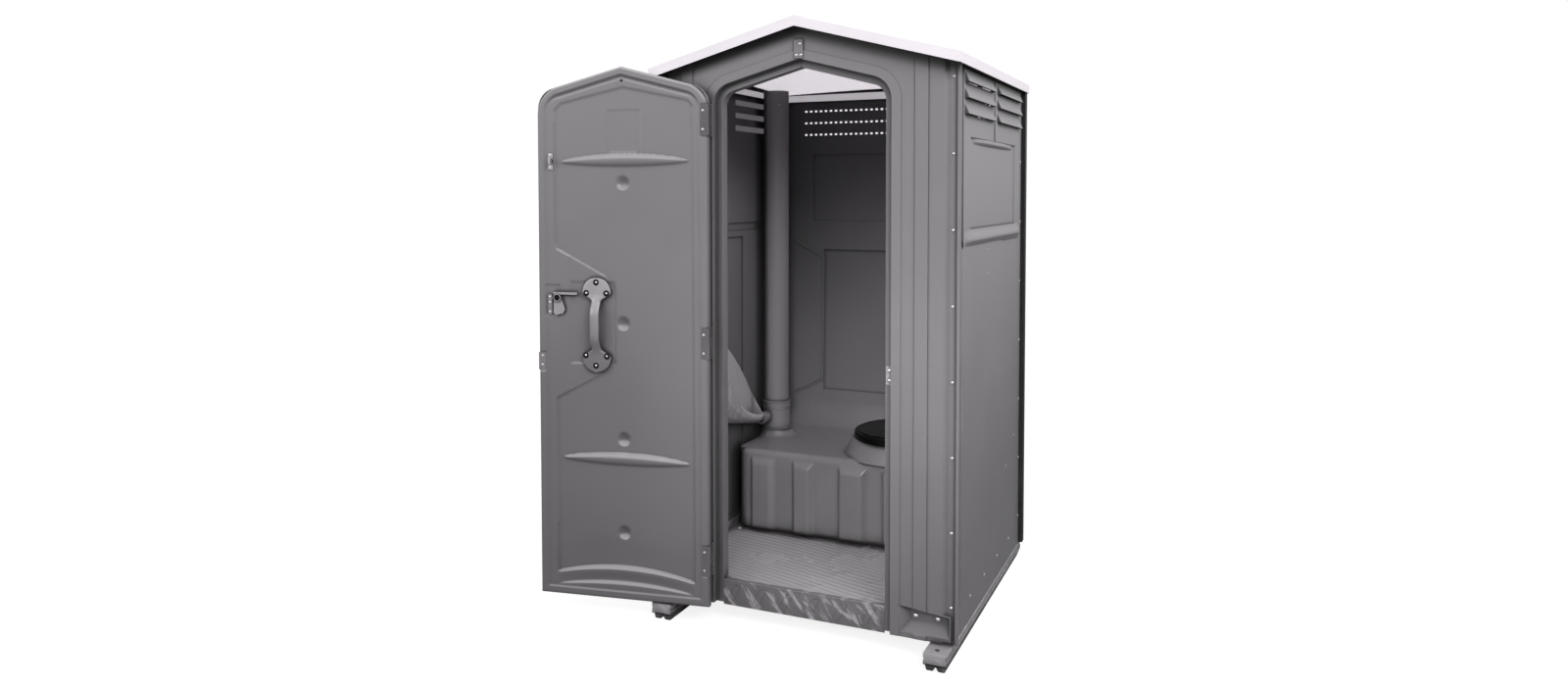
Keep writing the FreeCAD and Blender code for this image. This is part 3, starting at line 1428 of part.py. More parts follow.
def paper_holder():
    body = new_body("paper_holder_form")
    back, reach = f"({SIDE_IN} + window_press)", "(roll_from_wall + holder_past)"
    half = "(roll_long / 2 + 1)"
    low, high = "roll_level - holder_low", "roll_level + holder_high"
    block(body, "YZ", f"{back} - holder_plate", "holder_plate",
          rectangle(f"roll_along - {half}", f"roll_along + {half}", low, high))
    for y in (f"roll_along - {half} - holder_arm", f"roll_along + {half}"):
        arm = [(f"{back} - {reach}", "roll_level - holder_tip"), (back, low), (back, high),
               (f"{back} - {reach}", "roll_level + holder_tip")]
        block(body, "XZ", y, "holder_arm", arm)
    centre = f"({back} - roll_from_wall)"
    drum(body, "XZ", f"roll_along - {half} - holder_arm - 1", "roll_long + holder_past", [(centre, "roll_level")],
         "holder_rod / 2 + fit", cut=True)
    spots = [(FIELD_X, y, z) for y, z in HOLDER_SPOTS]
    keep(holed("paper_holder", body, [shanks(spots, outwards(1), value("screw_shank + fit"), 20)]), "paper_holder")
    keep(shaped("paper_holder_screws", domed(spots, outwards(1), value("screw_head"), value("screw_rise"),
                                             value("screw_shank"), 11)), "paper_holder_screws")
    middle = rod("spindle_barrel", (centre, "roll_along - roll_long / 2", "roll_level"), "y",
                 "holder_rod", "roll_long")
    ends = rod("spindle_ends", (centre, f"roll_along - {half} - holder_arm", "roll_level"), "y",
               "holder_rod / 2", f"2 * ({half} + holder_arm)")
    keep(joined("paper_spindle", [middle, ends]), "paper_spindle")
    roll = rod("roll_outer", (centre, "roll_along - roll_long / 2 + 1", "roll_level"), "y",
               "roll_radius", "roll_long - 2")
    core = rod("roll_core_bore", (centre, "roll_along - roll_long / 2", "roll_level"), "y",
               "holder_rod + fit", "roll_long")
    keep(less("paper_roll", roll, core), "paper_roll")


# Door: an outer and an inner skin around a hollow, drawn closed and hung open

def at_door(across):
    """Front view place of a point at a distance from the door's hinge edge."""
    return f"({across} - {DOOR_HALF})"


def on_door(spots, y):
    """Places on the closed door, from their distances to the hinge edge and their levels."""
    return [(value(at_door(s)), value(y), z) for s, z in spots]


def leaf_screws():
    return on_door([(LEAF_SCREW_ACROSS, z) for name, level in HINGES for z in leaf_spots(level)], DOOR_IN)


BORDER = f"({DOOR_IN} - border_drop)"
PANEL = f"({DOOR_IN} - door_recess + panel_rise)"
PAD = f"({BORDER} + handle_pad_thick)"
HANDLE_SCREWS = [(418, 1222), (379, 1183), (456, 1183), (378, 955), (459, 957), (420, 920)]
HOOK_SCREWS = [(597, 1638), (597, 1682)]
LATCH_SCREWS = [(602, 1165), (602, 1145), (602, 1110)]
EDGE_SCREWS = [(634, 947), (634, 914)]
DIMPLES = (1581, 1074, 654, 311)
LENSES = (1660, 578)
RECESS = ((52, 145), (576, 149), (580, 795), (376, 904), (356, 942), (356, 1188), (389, 1242), (577, 1341),
          (584, 1361), (584, 1846), (559, 1872), (317, 1926), (71, 1874), (54, 1852))


def door_outer_skin():
    body = new_body("door_outer_form")
    block(body, "XZ", DOOR_OUT, "door_thick - door_inner", whole_arch(DOOR_OFFSET, "door_bottom"))
    block(body, "XZ", f"{DOOR_OUT} + door_skin", "door_thick", whole_arch(
        f"({DOOR_OFFSET} - door_skin)", "door_bottom + door_skin"), cut=True)
    slot = bolt_slot(value(f"{DOOR_HALF} - 2 * door_skin"), 3 * DOOR_SKIN, BOLT_SLOT_SIDE)
    spindle = Part.makeCylinder(value("spindle_radius + fit"), 20, Vector(
        value("pivot_across"), value(DOOR_OUT) - 5, value("pivot_level")), Vector(0, 1, 0))
    keep(hang(group("door_outer_skin", [holed("door_outer_cut", body, [slot, spindle])])), "door_outer_skin")


def door_inner_skin():
    body = new_body("door_inner_form")
    block(body, "XZ", f"{DOOR_IN} - door_inner", "door_inner", whole_arch(DOOR_OFFSET, "door_bottom"))
    block(body, "XZ", BORDER, "border_deep", whole_arch("border_wide", "door_bottom + border_foot"), cut=True)
    recess = [(at_door(s), str(z)) for s, z in RECESS]
    recess[0] += ("0 - recess_bow",)
    block(body, "XZ", PANEL, "border_deep + 1", recess, cut=True)
    for level in LENSES:
        add_lens(body, level)
    middle = at_door("door_middle")
    drum(body, "XZ", f"{PANEL} - dimple_deep", "dimple_deep + 3", [(middle, str(z)) for z in DIMPLES],
         "dimple_radius", cut=True)
    rooms = ((f"{PANEL} - 1", "label_start", "label_end", "label_low", "label_high"),
             (f"{BORDER} - 3", "thumb_start", "thumb_end", "thumb_low", "thumb_high"),
             (f"{DOOR_IN} - edge_plate_drop", "edge_plate_start", "edge_plate_end", "edge_plate_low",
              "edge_plate_high"))
    for at, left, right, low, high in rooms:
        block(body, "XZ", at, "dimple_deep + 1", rectangle(at_door(left), at_door(right), low, high), cut=True)
    for name, level in HINGES:
        half = "(hinge_long / 2 + 1)"
        block(body, "XZ", f"{DOOR_IN} - leaf_thick - fit", "9", rectangle(
            at_door("0 - dimple_deep"), at_door("leaf_flange - 1.7"), f"{level} - {half}", f"{level} + {half}"),
            cut=True)
    screws = HANDLE_SCREWS + HOOK_SCREWS + LATCH_SCREWS + EDGE_SCREWS
    spots = on_door(screws, DOOR_IN) + leaf_screws()
    spindle = Part.makeCylinder(value("spindle_radius + fit"), 30, Vector(
        value("pivot_across"), value(DOOR_IN) - 20, value("pivot_level")), Vector(0, 1, 0))
    eye = Part.makeCylinder(EYE_HOLE, 8, Vector(value(middle), value(DOOR_IN) - 6, EYE_LEVEL), Vector(0, 1, 0))
    cuts = [shanks(spots, BACK, value("screw_shank + fit"), 20), spindle, eye]
    keep(hang(group("door_inner_skin", [holed("door_inner_cut", body, cuts)])), "door_inner_skin")


def add_lens(body, level):
    """A long ridge that is thick in the middle and runs out at both ends."""
    middle = at_door("door_middle - dimple_deep - 1")
    foot = [(f"{middle} {side} lens_half", f"{level}", "lens_bow") for side in "-+"]
    top = [(f"{middle} {side} (lens_half - lens_top_short)", f"{level} + lens_rise", "lens_top_bow")
           for side in "-+"]
    between(body, "XZ", f"{PANEL} - 1", foot, f"{PANEL} + lens_proud", top)


# Hinges, latch, handle and the other fittings of the door

def knuckle(low, high):
    place = Vector(value(HINGE_X), value(HINGE_Y), low + KNUCKLE_GAP / 2)
    return Part.makeCylinder(BARREL_RADIUS, high - low - KNUCKLE_GAP, place)


def hinge(name, level):
    x, y = value(HINGE_X), value(HINGE_Y)
    low = value(f"{level} - hinge_long / 2")
    bore = Part.makeCylinder(value("pin_radius + fit"), 2 * HINGE_LONG, Vector(x, y, low - HINGE_LONG / 2))
    keep(shaped(f"{name}_frame_leaf", frame_leaf(x, y, low).cut(bore).removeSplitter()), f"{name}_frame_leaf")
    leaf = door_leaf(y, low).cut([bore, shanks(leaf_screws(), BACK, value("screw_shank + fit"), 6)])
    keep(hang(shaped(f"{name}_door_leaf", leaf.removeSplitter())), f"{name}_door_leaf")
    keep(rod(f"{name}_pin", (HINGE_X, HINGE_Y, f"{level} - hinge_long / 2 - hinge_pin_over"), "z", "pin_radius",
             "hinge_long + 2 * hinge_pin_over"), f"{name}_pin")


def frame_leaf(x, y, low):
    """A plate on the front panel, and a web out to the two outer knuckles."""
    third = HINGE_LONG / 3
    face = value("0 - half_depth - bead_proud")
    plate = Part.makeBox(LEAF_WIDE - 4, LEAF_THICK, HINGE_LONG, Vector(x - LEAF_WIDE, face - LEAF_THICK, low))
    web = Part.makeBox(2, face - y, HINGE_LONG, Vector(x - BARREL_RADIUS, y, low))
    gap = Part.makeBox(LEAF_WIDE, face - LEAF_THICK + 17 - y, third, Vector(
        x - BARREL_RADIUS - 1, y - 20, low + third))
    knuckles = [knuckle(low, low + third), knuckle(low + 2 * third, low + HINGE_LONG)]
    screws = shanks(frame_screws(), FRONT, value("screw_shank + fit"), 6)
    return plate.fuse([web.cut(gap)] + knuckles).cut(screws)


def door_leaf(y, low):
    """The middle knuckle, a strip along the door's edge and a flange on its face."""
    third = HINGE_LONG / 3
    left = value(f"0 - {DOOR_HALF} - leaf_web - fit")
    inner = value(DOOR_IN)
    strip = Part.makeBox(LEAF_WEB, inner - y, third - 2, Vector(left, y, low + third + 1))
    start = inner - DOOR_THICK + LEAF_BACK_GAP
    tall = Part.makeBox(LEAF_WEB, inner - start, HINGE_LONG, Vector(left, start, low))
    flange = Part.makeBox(LEAF_FLANGE, LEAF_THICK, HINGE_LONG, Vector(left, inner - LEAF_THICK, low))
    return knuckle(low + third, low + 2 * third).fuse([strip, tall, flange])


def handle_half(end, sign):
    """The handle's outline around one pad: foot, pad and neck, from one side to the other."""
    foot_up, pad_up, neck_up = [f"{end} {sign} handle_{part}_up" for part in ("end", "pad", "neck")]
    return [("0 - handle_neck", neck_up), ("0 - handle_pad", pad_up, "handle_arch"),
            ("0 - handle_foot", foot_up, "handle_end_up"), ("handle_foot", foot_up, "handle_arch"),
            ("handle_pad", pad_up), ("handle_neck", neck_up)]


def pull_handle():
    body = new_body("pull_handle_form")
    top = f"({BORDER} + handle_reach)"
    shape = [(f"handle_across + {p[0]}", *p[1:]) for p in handle_half("handle_low", "+")]
    shape += [(f"handle_across - ({p[0]})", *p[1:]) for p in handle_half("handle_high", "-")]
    block(body, "XZ", BORDER, "handle_reach", shape)
    under = f"{top} - handle_grip"
    gap = [(f"{BORDER} - 1", "handle_low + handle_gap_start"), (under, "handle_low + handle_neck_up"),
           (under, "handle_high - handle_neck_up"), (f"{BORDER} - 1", "handle_high - handle_gap_start")]
    side = "handle_across - handle_pad - 5"
    block(body, "YZ", side, "2 * handle_pad + 10", gap, cut=True)
    for end, sign in (("handle_low", "+"), ("handle_high", "-")):
        start, finish = f"{end} {sign} (0 - 1)", f"{end} {sign} (handle_neck_up + 8)"
        above = [(f"{top} + 1", finish), (top, f"{end} {sign} (handle_neck_up + 6)"),
                 (PAD, f"{end} {sign} (handle_pad_up + 8)"), (PAD, start), (f"{top} + 1", start)]
        block(body, "YZ", side, "2 * handle_pad + 10", above, cut=True)
    screws = shanks(on_door(HANDLE_SCREWS, PAD), BACK, value("screw_shank + fit"), 30)
    keep(hang(group("pull_handle", [holed("pull_handle_cut", body, [screws])])), "pull_handle")


def along_y(x, z, start, end, radius):
    return Part.makeCylinder(radius, end - start, Vector(x, start, z), Vector(0, 1, 0))


def prism(points, start, end):
    """A front view outline extruded from start to end."""
    corners = [Vector(x, start, z) for x, z in points]
    return Part.Face(Part.makePolygon(corners + corners[:1])).extrude(Vector(0, end - start, 0))


def door_prism(spots, start, end):
    """An outline given by places on the door, extruded from start to end."""
    return prism([(x, z) for x, y, z in on_door(spots, DOOR_IN)], start, end)


def latch():
    latch_lever()
    latch_spindle()
    outside_turn_knob()
    latch_bolt()


def latch_lever():
    border = value(BORDER)
    pivot = value(f"pivot_across + {DOOR_HALF}")
    hub = along_y(PIVOT_ACROSS, PIVOT_LEVEL, border + 0.5, border + LEVER_THICK + 2, LEVER_HUB)
    tail = door_prism([(pivot - 14, PIVOT_LEVEL), (pivot - 29, 1121), (pivot - 20, 1106), (pivot + 8, 1100),
                       (pivot + 16, 1108), (pivot + 14, PIVOT_LEVEL)], border + 2.5, border + LEVER_THICK - 4)
    bar = door_prism([(LEVER_START, LEVER_LOW), (pivot + 14, LEVER_LOW), (pivot + 14, LEVER_HIGH),
                      (LEVER_START, LEVER_HIGH)], border + 2.5, border + LEVER_THICK)
    bore = along_y(PIVOT_ACROSS, PIVOT_LEVEL, border - 5, border + 40, SPINDLE_RADIUS)
    keep(hang(shaped("latch_lever", hub.fuse([tail, bar]).cut(bore).removeSplitter())), "latch_lever")


def cam_pin_place():
    turn = math.radians(CAM_TURN)
    return PIVOT_ACROSS - BOLT_THROW * math.sin(turn), PIVOT_LEVEL + BOLT_THROW * math.cos(turn)


def latch_spindle():
    """The shaft through the door, with the cam's arm and pin in the door's hollow."""
    x, z = PIVOT_ACROSS, PIVOT_LEVEL
    pin_x, pin_z = cam_pin_place()
    low = value(f"{BOLT_Y} + bolt_thick / 2 + cam_gap")
    high = value(f"{BORDER} + border_drop - door_inner - cam_gap")
    arm = prism([(x + 4, z + 1), (x - 4, z - 3), (pin_x - 5, pin_z - 3), (pin_x - 3, pin_z + 5),
                 (pin_x + 5, pin_z + 4)], low, high)
    pin = along_y(pin_x, pin_z, value(f"{BOLT_Y} - bolt_thick / 2"), high, CAM_PIN)
    shaft = along_y(x, z, value(f"{DOOR_OUT} - 14"), value(f"{BORDER} + lever_thick + 2"), SPINDLE_RADIUS)
    keep(hang(shaped("latch_spindle", shaft.fuse([arm, pin]).removeSplitter())), "latch_spindle")


def outside_turn_knob():
    x, z, outside = PIVOT_ACROSS, PIVOT_LEVEL, value(DOOR_OUT)
    disc = along_y(x, z, outside - KNOB_HIGH, outside - 0.5, KNOB_RADIUS)
    grip = Part.makeBox(GRIP_LONG, GRIP_HIGH - KNOB_HIGH, GRIP_THICK, Vector(
        x - GRIP_LONG / 2, outside - GRIP_HIGH, z - GRIP_THICK / 2))
    knob = disc.fuse(grip).cut(along_y(x, z, outside - 14, outside, SPINDLE_RADIUS))
    keep(hang(shaped("outside_turn_knob", knob.removeSplitter())), "outside_turn_knob")


def latch_bolt():
    """A flat bar with a yoke below it, slotted for the cam's pin."""
    pin_x, pin_z = cam_pin_place()
    left, back = pin_x - BOLT_TAIL, value(f"{BOLT_Y} - bolt_thick / 2")
    low = value("bolt_level - bolt_high / 2")
    foot = PIVOT_LEVEL + LEVER_HUB
    bar = Part.makeBox(value(DOOR_HALF) - 1 - left, BOLT_THICK, BOLT_HIGH, Vector(left, back, low))
    yoke = Part.makeBox(2 * BOLT_TAIL, BOLT_THICK, low - foot, Vector(left, back, foot))
    room = CAM_PIN + 0.7
    slot = Part.makeBox(2 * room, 30, BOLT_THROW - pin_z + PIVOT_LEVEL + 2 * room, Vector(
        pin_x - room, back - 15, pin_z - room))
    keep(hang(shaped("latch_bolt", bar.fuse(yoke).cut(slot).removeSplitter())), "latch_bolt")


def fitting(label, pieces, spots, y):
    """A metal fitting on the door with screw holes."""
    holes = shanks(on_door(spots, str(y)), BACK, value("screw_shank + fit"), 20)
    shape = pieces[0].fuse(pieces[1:]) if len(pieces) > 1 else pieces[0]
    keep(hang(shaped(label, shape.cut(holes).removeSplitter())), label)


def plate_on_door(start, size, y, level):
    """A box at a distance from the door's hinge edge."""
    return Part.makeBox(*size, Vector(value(at_door(start)), y, level))


def door_fittings():
    border, inner = value(BORDER), value(DOOR_IN)
    plate = plate_on_door(594, (16, PLATE_METAL, 75), border, 1100)
    fitting("latch_plate", [plate], LATCH_SCREWS, border)
    low = EDGE_PLATE_LOW + PLATE_METAL
    tall = EDGE_PLATE_HIGH - EDGE_PLATE_LOW - 2 * PLATE_METAL
    edge = [plate_on_door(622, (27.7, PLATE_METAL, tall), inner - EDGE_PLATE_DROP, low),
            plate_on_door(648.2, (1.5, 14, tall), inner - 16, low)]
    fitting("door_edge_plate", edge, EDGE_SCREWS, inner - EDGE_PLATE_DROP)
    hook = [plate_on_door(587, (18, PLATE_METAL, 60), border, 1630),
            plate_on_door(588, (6, HOOK_REACH, 14), border, 1652),
            plate_on_door(588, (6, 4, HOOK_REACH), border + HOOK_REACH - 4, 1652)]
    fitting("coat_hook", hook, HOOK_SCREWS, border)
    keep(shaped("jamb_strike_plate", strike_blank().cut(strike_holes()).removeSplitter()), "jamb_strike_plate")


# Fasteners: every set of like ones is one node of separate solids

def fasteners():
    rivet = (RIVET_HEAD, RIVET_RISE, RIVET_SHANK)
    screw = (SCREW_HEAD, SCREW_RISE, SCREW_SHANK)
    stout = (BOLT_HEAD, BOLT_HEAD_HIGH, BOLT_SHANK)
    up, low = Vector(0, 0, 1), (SCREW_HEAD, 1, SCREW_SHANK)
    front = Part.makeCompound([domed(FRONT_RIVETS, FRONT, *rivet, 9), domed(PLATE_RIVETS, FRONT, *rivet, 10)])
    keep(shaped("front_rivets", flat(front)), "front_rivets")
    sides = Part.makeCompound([domed(wall_rivets(side), outwards(side), *rivet, 9) for side in (-1, 1)])
    keep(shaped("side_rivets", flat(sides)), "side_rivets")
    keep(shaped("foot_bolts", domed(FOOT_BOLTS, FRONT, *stout, 10)), "foot_bolts")
    deep = value("floor_top - skid_top") + 24
    keep(shaped("floor_bolts", domed(FLOOR_BOLTS, up, *stout, deep)), "floor_bolts")
    tank = Part.makeCompound([domed(tank_fixings(side), outwards(side), *screw, 12) for side in (-1, 1)])
    keep(shaped("tank_screws", flat(tank)), "tank_screws")
    pulls = on_door(HANDLE_SCREWS, PAD)
    keep(hang(shaped("handle_screws", domed(pulls, BACK, *screw, 19))), "handle_screws")
    small = on_door(HOOK_SCREWS + LATCH_SCREWS, f"{BORDER} + plate_metal")
    small += on_door(EDGE_SCREWS, f"{DOOR_IN} - edge_plate_drop + plate_metal")
    keep(hang(shaped("door_fitting_screws", domed(small, BACK, SCREW_HEAD, 1.2, SCREW_SHANK, 9))),
         "door_fitting_screws")
    keep(hang(shaped("hinge_screws_door", domed(leaf_screws(), BACK, *low, 9))), "hinge_screws_door")
    keep(shaped("hinge_screws_frame", domed(frame_screws(), FRONT, *screw, 9)), "hinge_screws_frame")
    keep(shaped("strike_screws", domed(STRIKE_SCREWS, FRONT, *low, 7)), "strike_screws")


def flat(compound):
    """The solids of nested groups as one group."""
    return Part.makeCompound(compound.Solids)


def build():
    front_panels()
    gable_joint_plate()
    side_walls()
    rear_wall()
    rear_corner_trims()
    roof()
    floor_pan()
    sill_apron()
    skids()
    waste_tank()
    seat()
    vent_pipe()
    urinal()
    paper_holder()
    door_outer_skin()
    door_inner_skin()
    for name, level in HINGES:
        hinge(name, level)
    pull_handle()
    latch()
    door_fittings()
    fasteners()


def check_and_write():
    document.recompute()
    for thing in document.Objects:
        if "Invalid" in thing.State or "Error" in thing.State:
            raise ValueError(f"{thing.Name} did not build: {thing.State}")
    for piece in nodes:
        if piece.Shape.isNull() or not piece.Shape.isValid() or not piece.Shape.Solids:
            raise ValueError(f"{piece.Label} is not a sound solid")
    os.makedirs("parts", exist_ok=True)
    for piece in nodes:
        piece.Shape.exportStep(f"parts/{piece.Label}.step")
    print(len(nodes), "sub-parts written")


build()
check_and_write()
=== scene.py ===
# %% [markdown]
# # A portable toilet cabin
# This lesson dresses the measured model of a moulded toilet cabin: grey plastic panels riveted to a
# floor pan on two skids, a hung door that stands open, a tank with a seat, a urinal and a vent pipe.
# The measured parts are loaded first and stay where they are. Lengths are in metres, except for the
# drawn sheets further down: those are laid out in millimetres and scaled as they are made.

# %% Load the measured parts
import json
import math

import bmesh
import bpy
from mathutils import Matrix, Vector


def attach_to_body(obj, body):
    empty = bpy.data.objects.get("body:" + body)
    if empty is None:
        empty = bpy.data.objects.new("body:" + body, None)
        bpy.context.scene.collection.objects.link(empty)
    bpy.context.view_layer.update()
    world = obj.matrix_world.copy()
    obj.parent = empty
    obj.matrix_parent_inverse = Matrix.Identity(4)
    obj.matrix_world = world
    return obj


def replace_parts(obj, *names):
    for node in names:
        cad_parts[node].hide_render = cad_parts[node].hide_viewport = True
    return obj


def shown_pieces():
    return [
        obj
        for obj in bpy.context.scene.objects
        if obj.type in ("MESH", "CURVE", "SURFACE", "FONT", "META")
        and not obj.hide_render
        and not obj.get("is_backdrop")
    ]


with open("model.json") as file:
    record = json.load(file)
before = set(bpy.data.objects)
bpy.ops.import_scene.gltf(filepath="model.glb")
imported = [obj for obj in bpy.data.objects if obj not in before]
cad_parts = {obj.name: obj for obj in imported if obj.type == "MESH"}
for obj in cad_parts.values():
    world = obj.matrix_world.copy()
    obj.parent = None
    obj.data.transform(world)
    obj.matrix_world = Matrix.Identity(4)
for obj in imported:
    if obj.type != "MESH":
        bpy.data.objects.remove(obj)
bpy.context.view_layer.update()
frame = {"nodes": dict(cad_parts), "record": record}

# %% [markdown]
# ## The camera
# A photograph fixes one eye point. Its place and lens were worked out from the cabin's straight
# edges, so here they are plain numbers: where the eye is, how far it turns, dips and leans, and how far
# the frame is shifted from the lens axis, as a view camera's rising front would do.

# %% Place the camera
PICTURE_WIDTH, PICTURE_HEIGHT = 1600, 702
FOCAL_PIXELS = 1075.22
AXIS_X, AXIS_Y = 765.64, 238.52
EYE = Vector((1.3698, -3.9268, 1.5479))
TURN, DIP, ROLL = 24.883, 2.28, -0.106
SENSOR = 36.0


def place_camera():
    lens = bpy.data.cameras.new("photo_camera")
    lens.sensor_width = SENSOR
    lens.lens = FOCAL_PIXELS * SENSOR / PICTURE_WIDTH
    lens.shift_x = (PICTURE_WIDTH / 2 - AXIS_X) / PICTURE_WIDTH
    lens.shift_y = (AXIS_Y - PICTURE_HEIGHT / 2) / PICTURE_WIDTH
    camera = bpy.data.objects.new("photo_camera", lens)
    turned = Matrix.Rotation(math.radians(TURN), 4, "Z")
    dipped = Matrix.Rotation(math.radians(90 - DIP), 4, "X")
    rolled = Matrix.Rotation(math.radians(ROLL), 4, "Z")
    camera.matrix_world = Matrix.Translation(EYE) @ turned @ dipped @ rolled
    bpy.context.scene.collection.objects.link(camera)
    bpy.context.scene.camera = camera
    print("lens:", round(lens.lens, 2), "mm, shift:", round(lens.shift_x, 4), round(lens.shift_y, 4))


place_camera()

# %% [markdown]
# ## Light, floor and backdrop
# The cabin was photographed under an even sky and cut out on white. A pale world gives the even
# light. Camera, mirror and see-through rays meet plain white instead, so the background is white
# without any more light falling on the cabin. The floor is matt, so it keeps the cabin's shadow.

# %% Helpers for node trees


def fill(tree, made, **inputs):
    """Fills inputs of a node, by name or by number after an underscore. A socket given is linked."""
    for name, value in inputs.items():
        socket = made.inputs[int(name[1:]) if name[0] == "_" else name.replace("_", " ")]
        if isinstance(value, bpy.types.NodeSocket):
            tree.links.new(value, socket)
        else:
            socket.default_value = value


def node(tree, kind, settings=None, **inputs):
    """Adds a node with its settings and inputs."""
    made = tree.nodes.new(kind)
    for name, value in (settings or {}).items():
        setattr(made, name, value)
    fill(tree, made, **inputs)
    return made


def maths(tree, operation, first, second=0.0, clamp=False):
    settings = {"operation": operation, "use_clamp": clamp}
    return node(tree, "ShaderNodeMath", settings, _0=first, _1=second).outputs[0]


def times(tree, first, second, clamp=False):
    return maths(tree, "MULTIPLY", first, second, clamp)


def rest_of(tree, share, clamp=False):
    """What is left of one."""
    return maths(tree, "SUBTRACT", 1.0, share, clamp)


def dot(tree, first, second):
    """How far two directions agree."""
    settings = {"operation": "DOT_PRODUCT"}
    return node(tree, "ShaderNodeVectorMath", settings, _0=first, _1=second).outputs["Value"]


def ramp(tree, value, low, high, to_low=0.0, to_high=1.0):
    """A smooth step of a value between two limits."""
    settings = {"interpolation_type": "SMOOTHSTEP", "clamp": True}
    made = node(tree, "ShaderNodeMapRange", settings, Value=value, From_Min=low, From_Max=high,
                To_Min=to_low, To_Max=to_high)
    return made.outputs[0]


def blend_colours(tree, share, first, second, how="MIX"):
    """The colour sockets of this node have the numbers 6 and 7, and its colour output has 2."""
    settings = {"data_type": "RGBA", "blend_type": how}
    return node(tree, "ShaderNodeMix", settings, _0=share, _6=first, _7=second).outputs[2]


def axes_of(tree, vector):
    return node(tree, "ShaderNodeSeparateXYZ", Vector=vector).outputs


def own(tree, kind="Object"):
    """The piece's own coordinates, or another kind of them by its name."""
    return node(tree, "ShaderNodeTexCoord").outputs[kind]


def spot_of(tree):
    """Across, back and up in the piece's own space."""
    return axes_of(tree, own(tree))


def facing_of(tree):
    """The way a face looks: across, back and up."""
    return axes_of(tree, node(tree, "ShaderNodeNewGeometry").outputs["Normal"])


def background_rays(tree):
    """One for rays from the camera, from a mirror or through glass, and nought for light rays."""
    path = node(tree, "ShaderNodeLightPath")
    seen = maths(tree, "MAXIMUM", path.outputs["Is Camera Ray"], path.outputs["Is Glossy Ray"])
    return maths(tree, "MAXIMUM", seen, path.outputs["Is Transmission Ray"])


def empty_tree(holder):
    """The cleared node tree of a world or a material."""
    holder.use_nodes = True
    holder.node_tree.nodes.clear()
    return holder.node_tree


# %% World, floor and lamps
SKY_LEVEL, GROUND_LEVEL, HORIZON = 0.78, 0.2, (-0.3, 0.55)
FLOOR_SIZE, FLOOR_LIFT = 400.0, 0.84
FLOOR_COLOUR, WHITE = (0.3, 0.3, 0.3, 1), (1, 1, 1, 1)


def light_world():
    world = bpy.data.worlds.new("even_sky")
    bpy.context.scene.world = world
    tree = empty_tree(world)
    up = axes_of(tree, own(tree, "Generated"))[2]
    level = ramp(tree, up, *HORIZON, GROUND_LEVEL, SKY_LEVEL)
    sky = node(tree, "ShaderNodeBackground", Color=WHITE, Strength=level)
    white = node(tree, "ShaderNodeBackground", Color=WHITE, Strength=1.0)
    share = background_rays(tree)
    mixed = node(tree, "ShaderNodeMixShader", _0=share, _1=sky.outputs[0], _2=white.outputs[0])
    node(tree, "ShaderNodeOutputWorld", Surface=mixed.outputs[0])


def lay_floor():
    """A matt floor that the camera sees lifted to white, all but the shadow on it."""
    shape = bmesh.new()
    bmesh.ops.create_grid(shape, x_segments=1, y_segments=1, size=FLOOR_SIZE / 2)
    floor = bpy.data.objects.new("studio_floor", bpy.data.meshes.new("studio_floor"))
    shape.to_mesh(floor.data)
    shape.free()
    bpy.context.scene.collection.objects.link(floor)
    material = bpy.data.materials.new("pale_floor")
    tree = empty_tree(material)
    matt = node(tree, "ShaderNodeBsdfDiffuse", Color=FLOOR_COLOUR)
    seen = node(tree, "ShaderNodeLightPath").outputs["Is Camera Ray"]
    glow = node(tree, "ShaderNodeEmission", Color=WHITE, Strength=times(tree, seen, FLOOR_LIFT))
    both = node(tree, "ShaderNodeAddShader", _0=matt.outputs[0], _1=glow.outputs[0])
    node(tree, "ShaderNodeOutputMaterial", Surface=both.outputs[0])
    floor.data.materials.append(material)
    floor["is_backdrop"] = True


def add_lamp(name, place, aim, size, power, spread=180):
    lamp = bpy.data.lights.new(name, "AREA")
    lamp.shape = "DISK"
    lamp.size = size
    lamp.energy = power
    lamp.spread = math.radians(spread)
    holder = bpy.data.objects.new(name, lamp)
    away = (Vector(place) - Vector(aim)).to_track_quat("Z", "Y")
    holder.matrix_world = Matrix.Translation(place) @ away.to_matrix().to_4x4()
    bpy.context.scene.collection.objects.link(holder)
    return holder


light_world()
lay_floor()
add_lamp("key_lamp", (4.6, -4.2, 5.2), (0, 0, 1.1), 3.5, 230)
add_lamp("fill_lamp", (-4.2, -5.2, 3.4), (-0.2, 0, 1.1), 3.0, 70)
add_lamp("doorway_lamp", (0.9, -3.4, 1.75), (0.05, 0.2, 0.45), 0.9, 2.0, spread=30)
under_roof = add_lamp("daylight_through_roof", (0.05, -0.05, 1.93), (0.05, -0.05, 0), 0.75, 2.2, spread=105)
under_roof.visible_camera = False
bpy.context.scene.view_settings.view_transform = "Standard"

# %% [markdown]
# ## Effects that several finishes share
# Moulded plastic has a fine grain, slow changes of tone where the sheet was drawn out, pale rubbed
# edges, and dust that splashes up from the ground. Each is a node group that is built once. A group
# puts out a mask or a height, and each material says how much of it there is and which colour it has.

# %% Node groups
RUB_REACH, RUB_BREAKUP = 0.004, 0.6
DUST_ON_TOP = 0.5
CREVICE, RECESS = 0.014, 0.07
EAVE_BAND = (-0.05, -0.008)
BEHIND_REAR, BESIDE_WALL, VENTS_FROM = (0.572, 0.573), (0.543, 0.544), (1.7, 1.72)
LOOKS_BACK = (-0.3, -0.6)
SMEAR_TURN = (0.0, 0.7, 0.55)


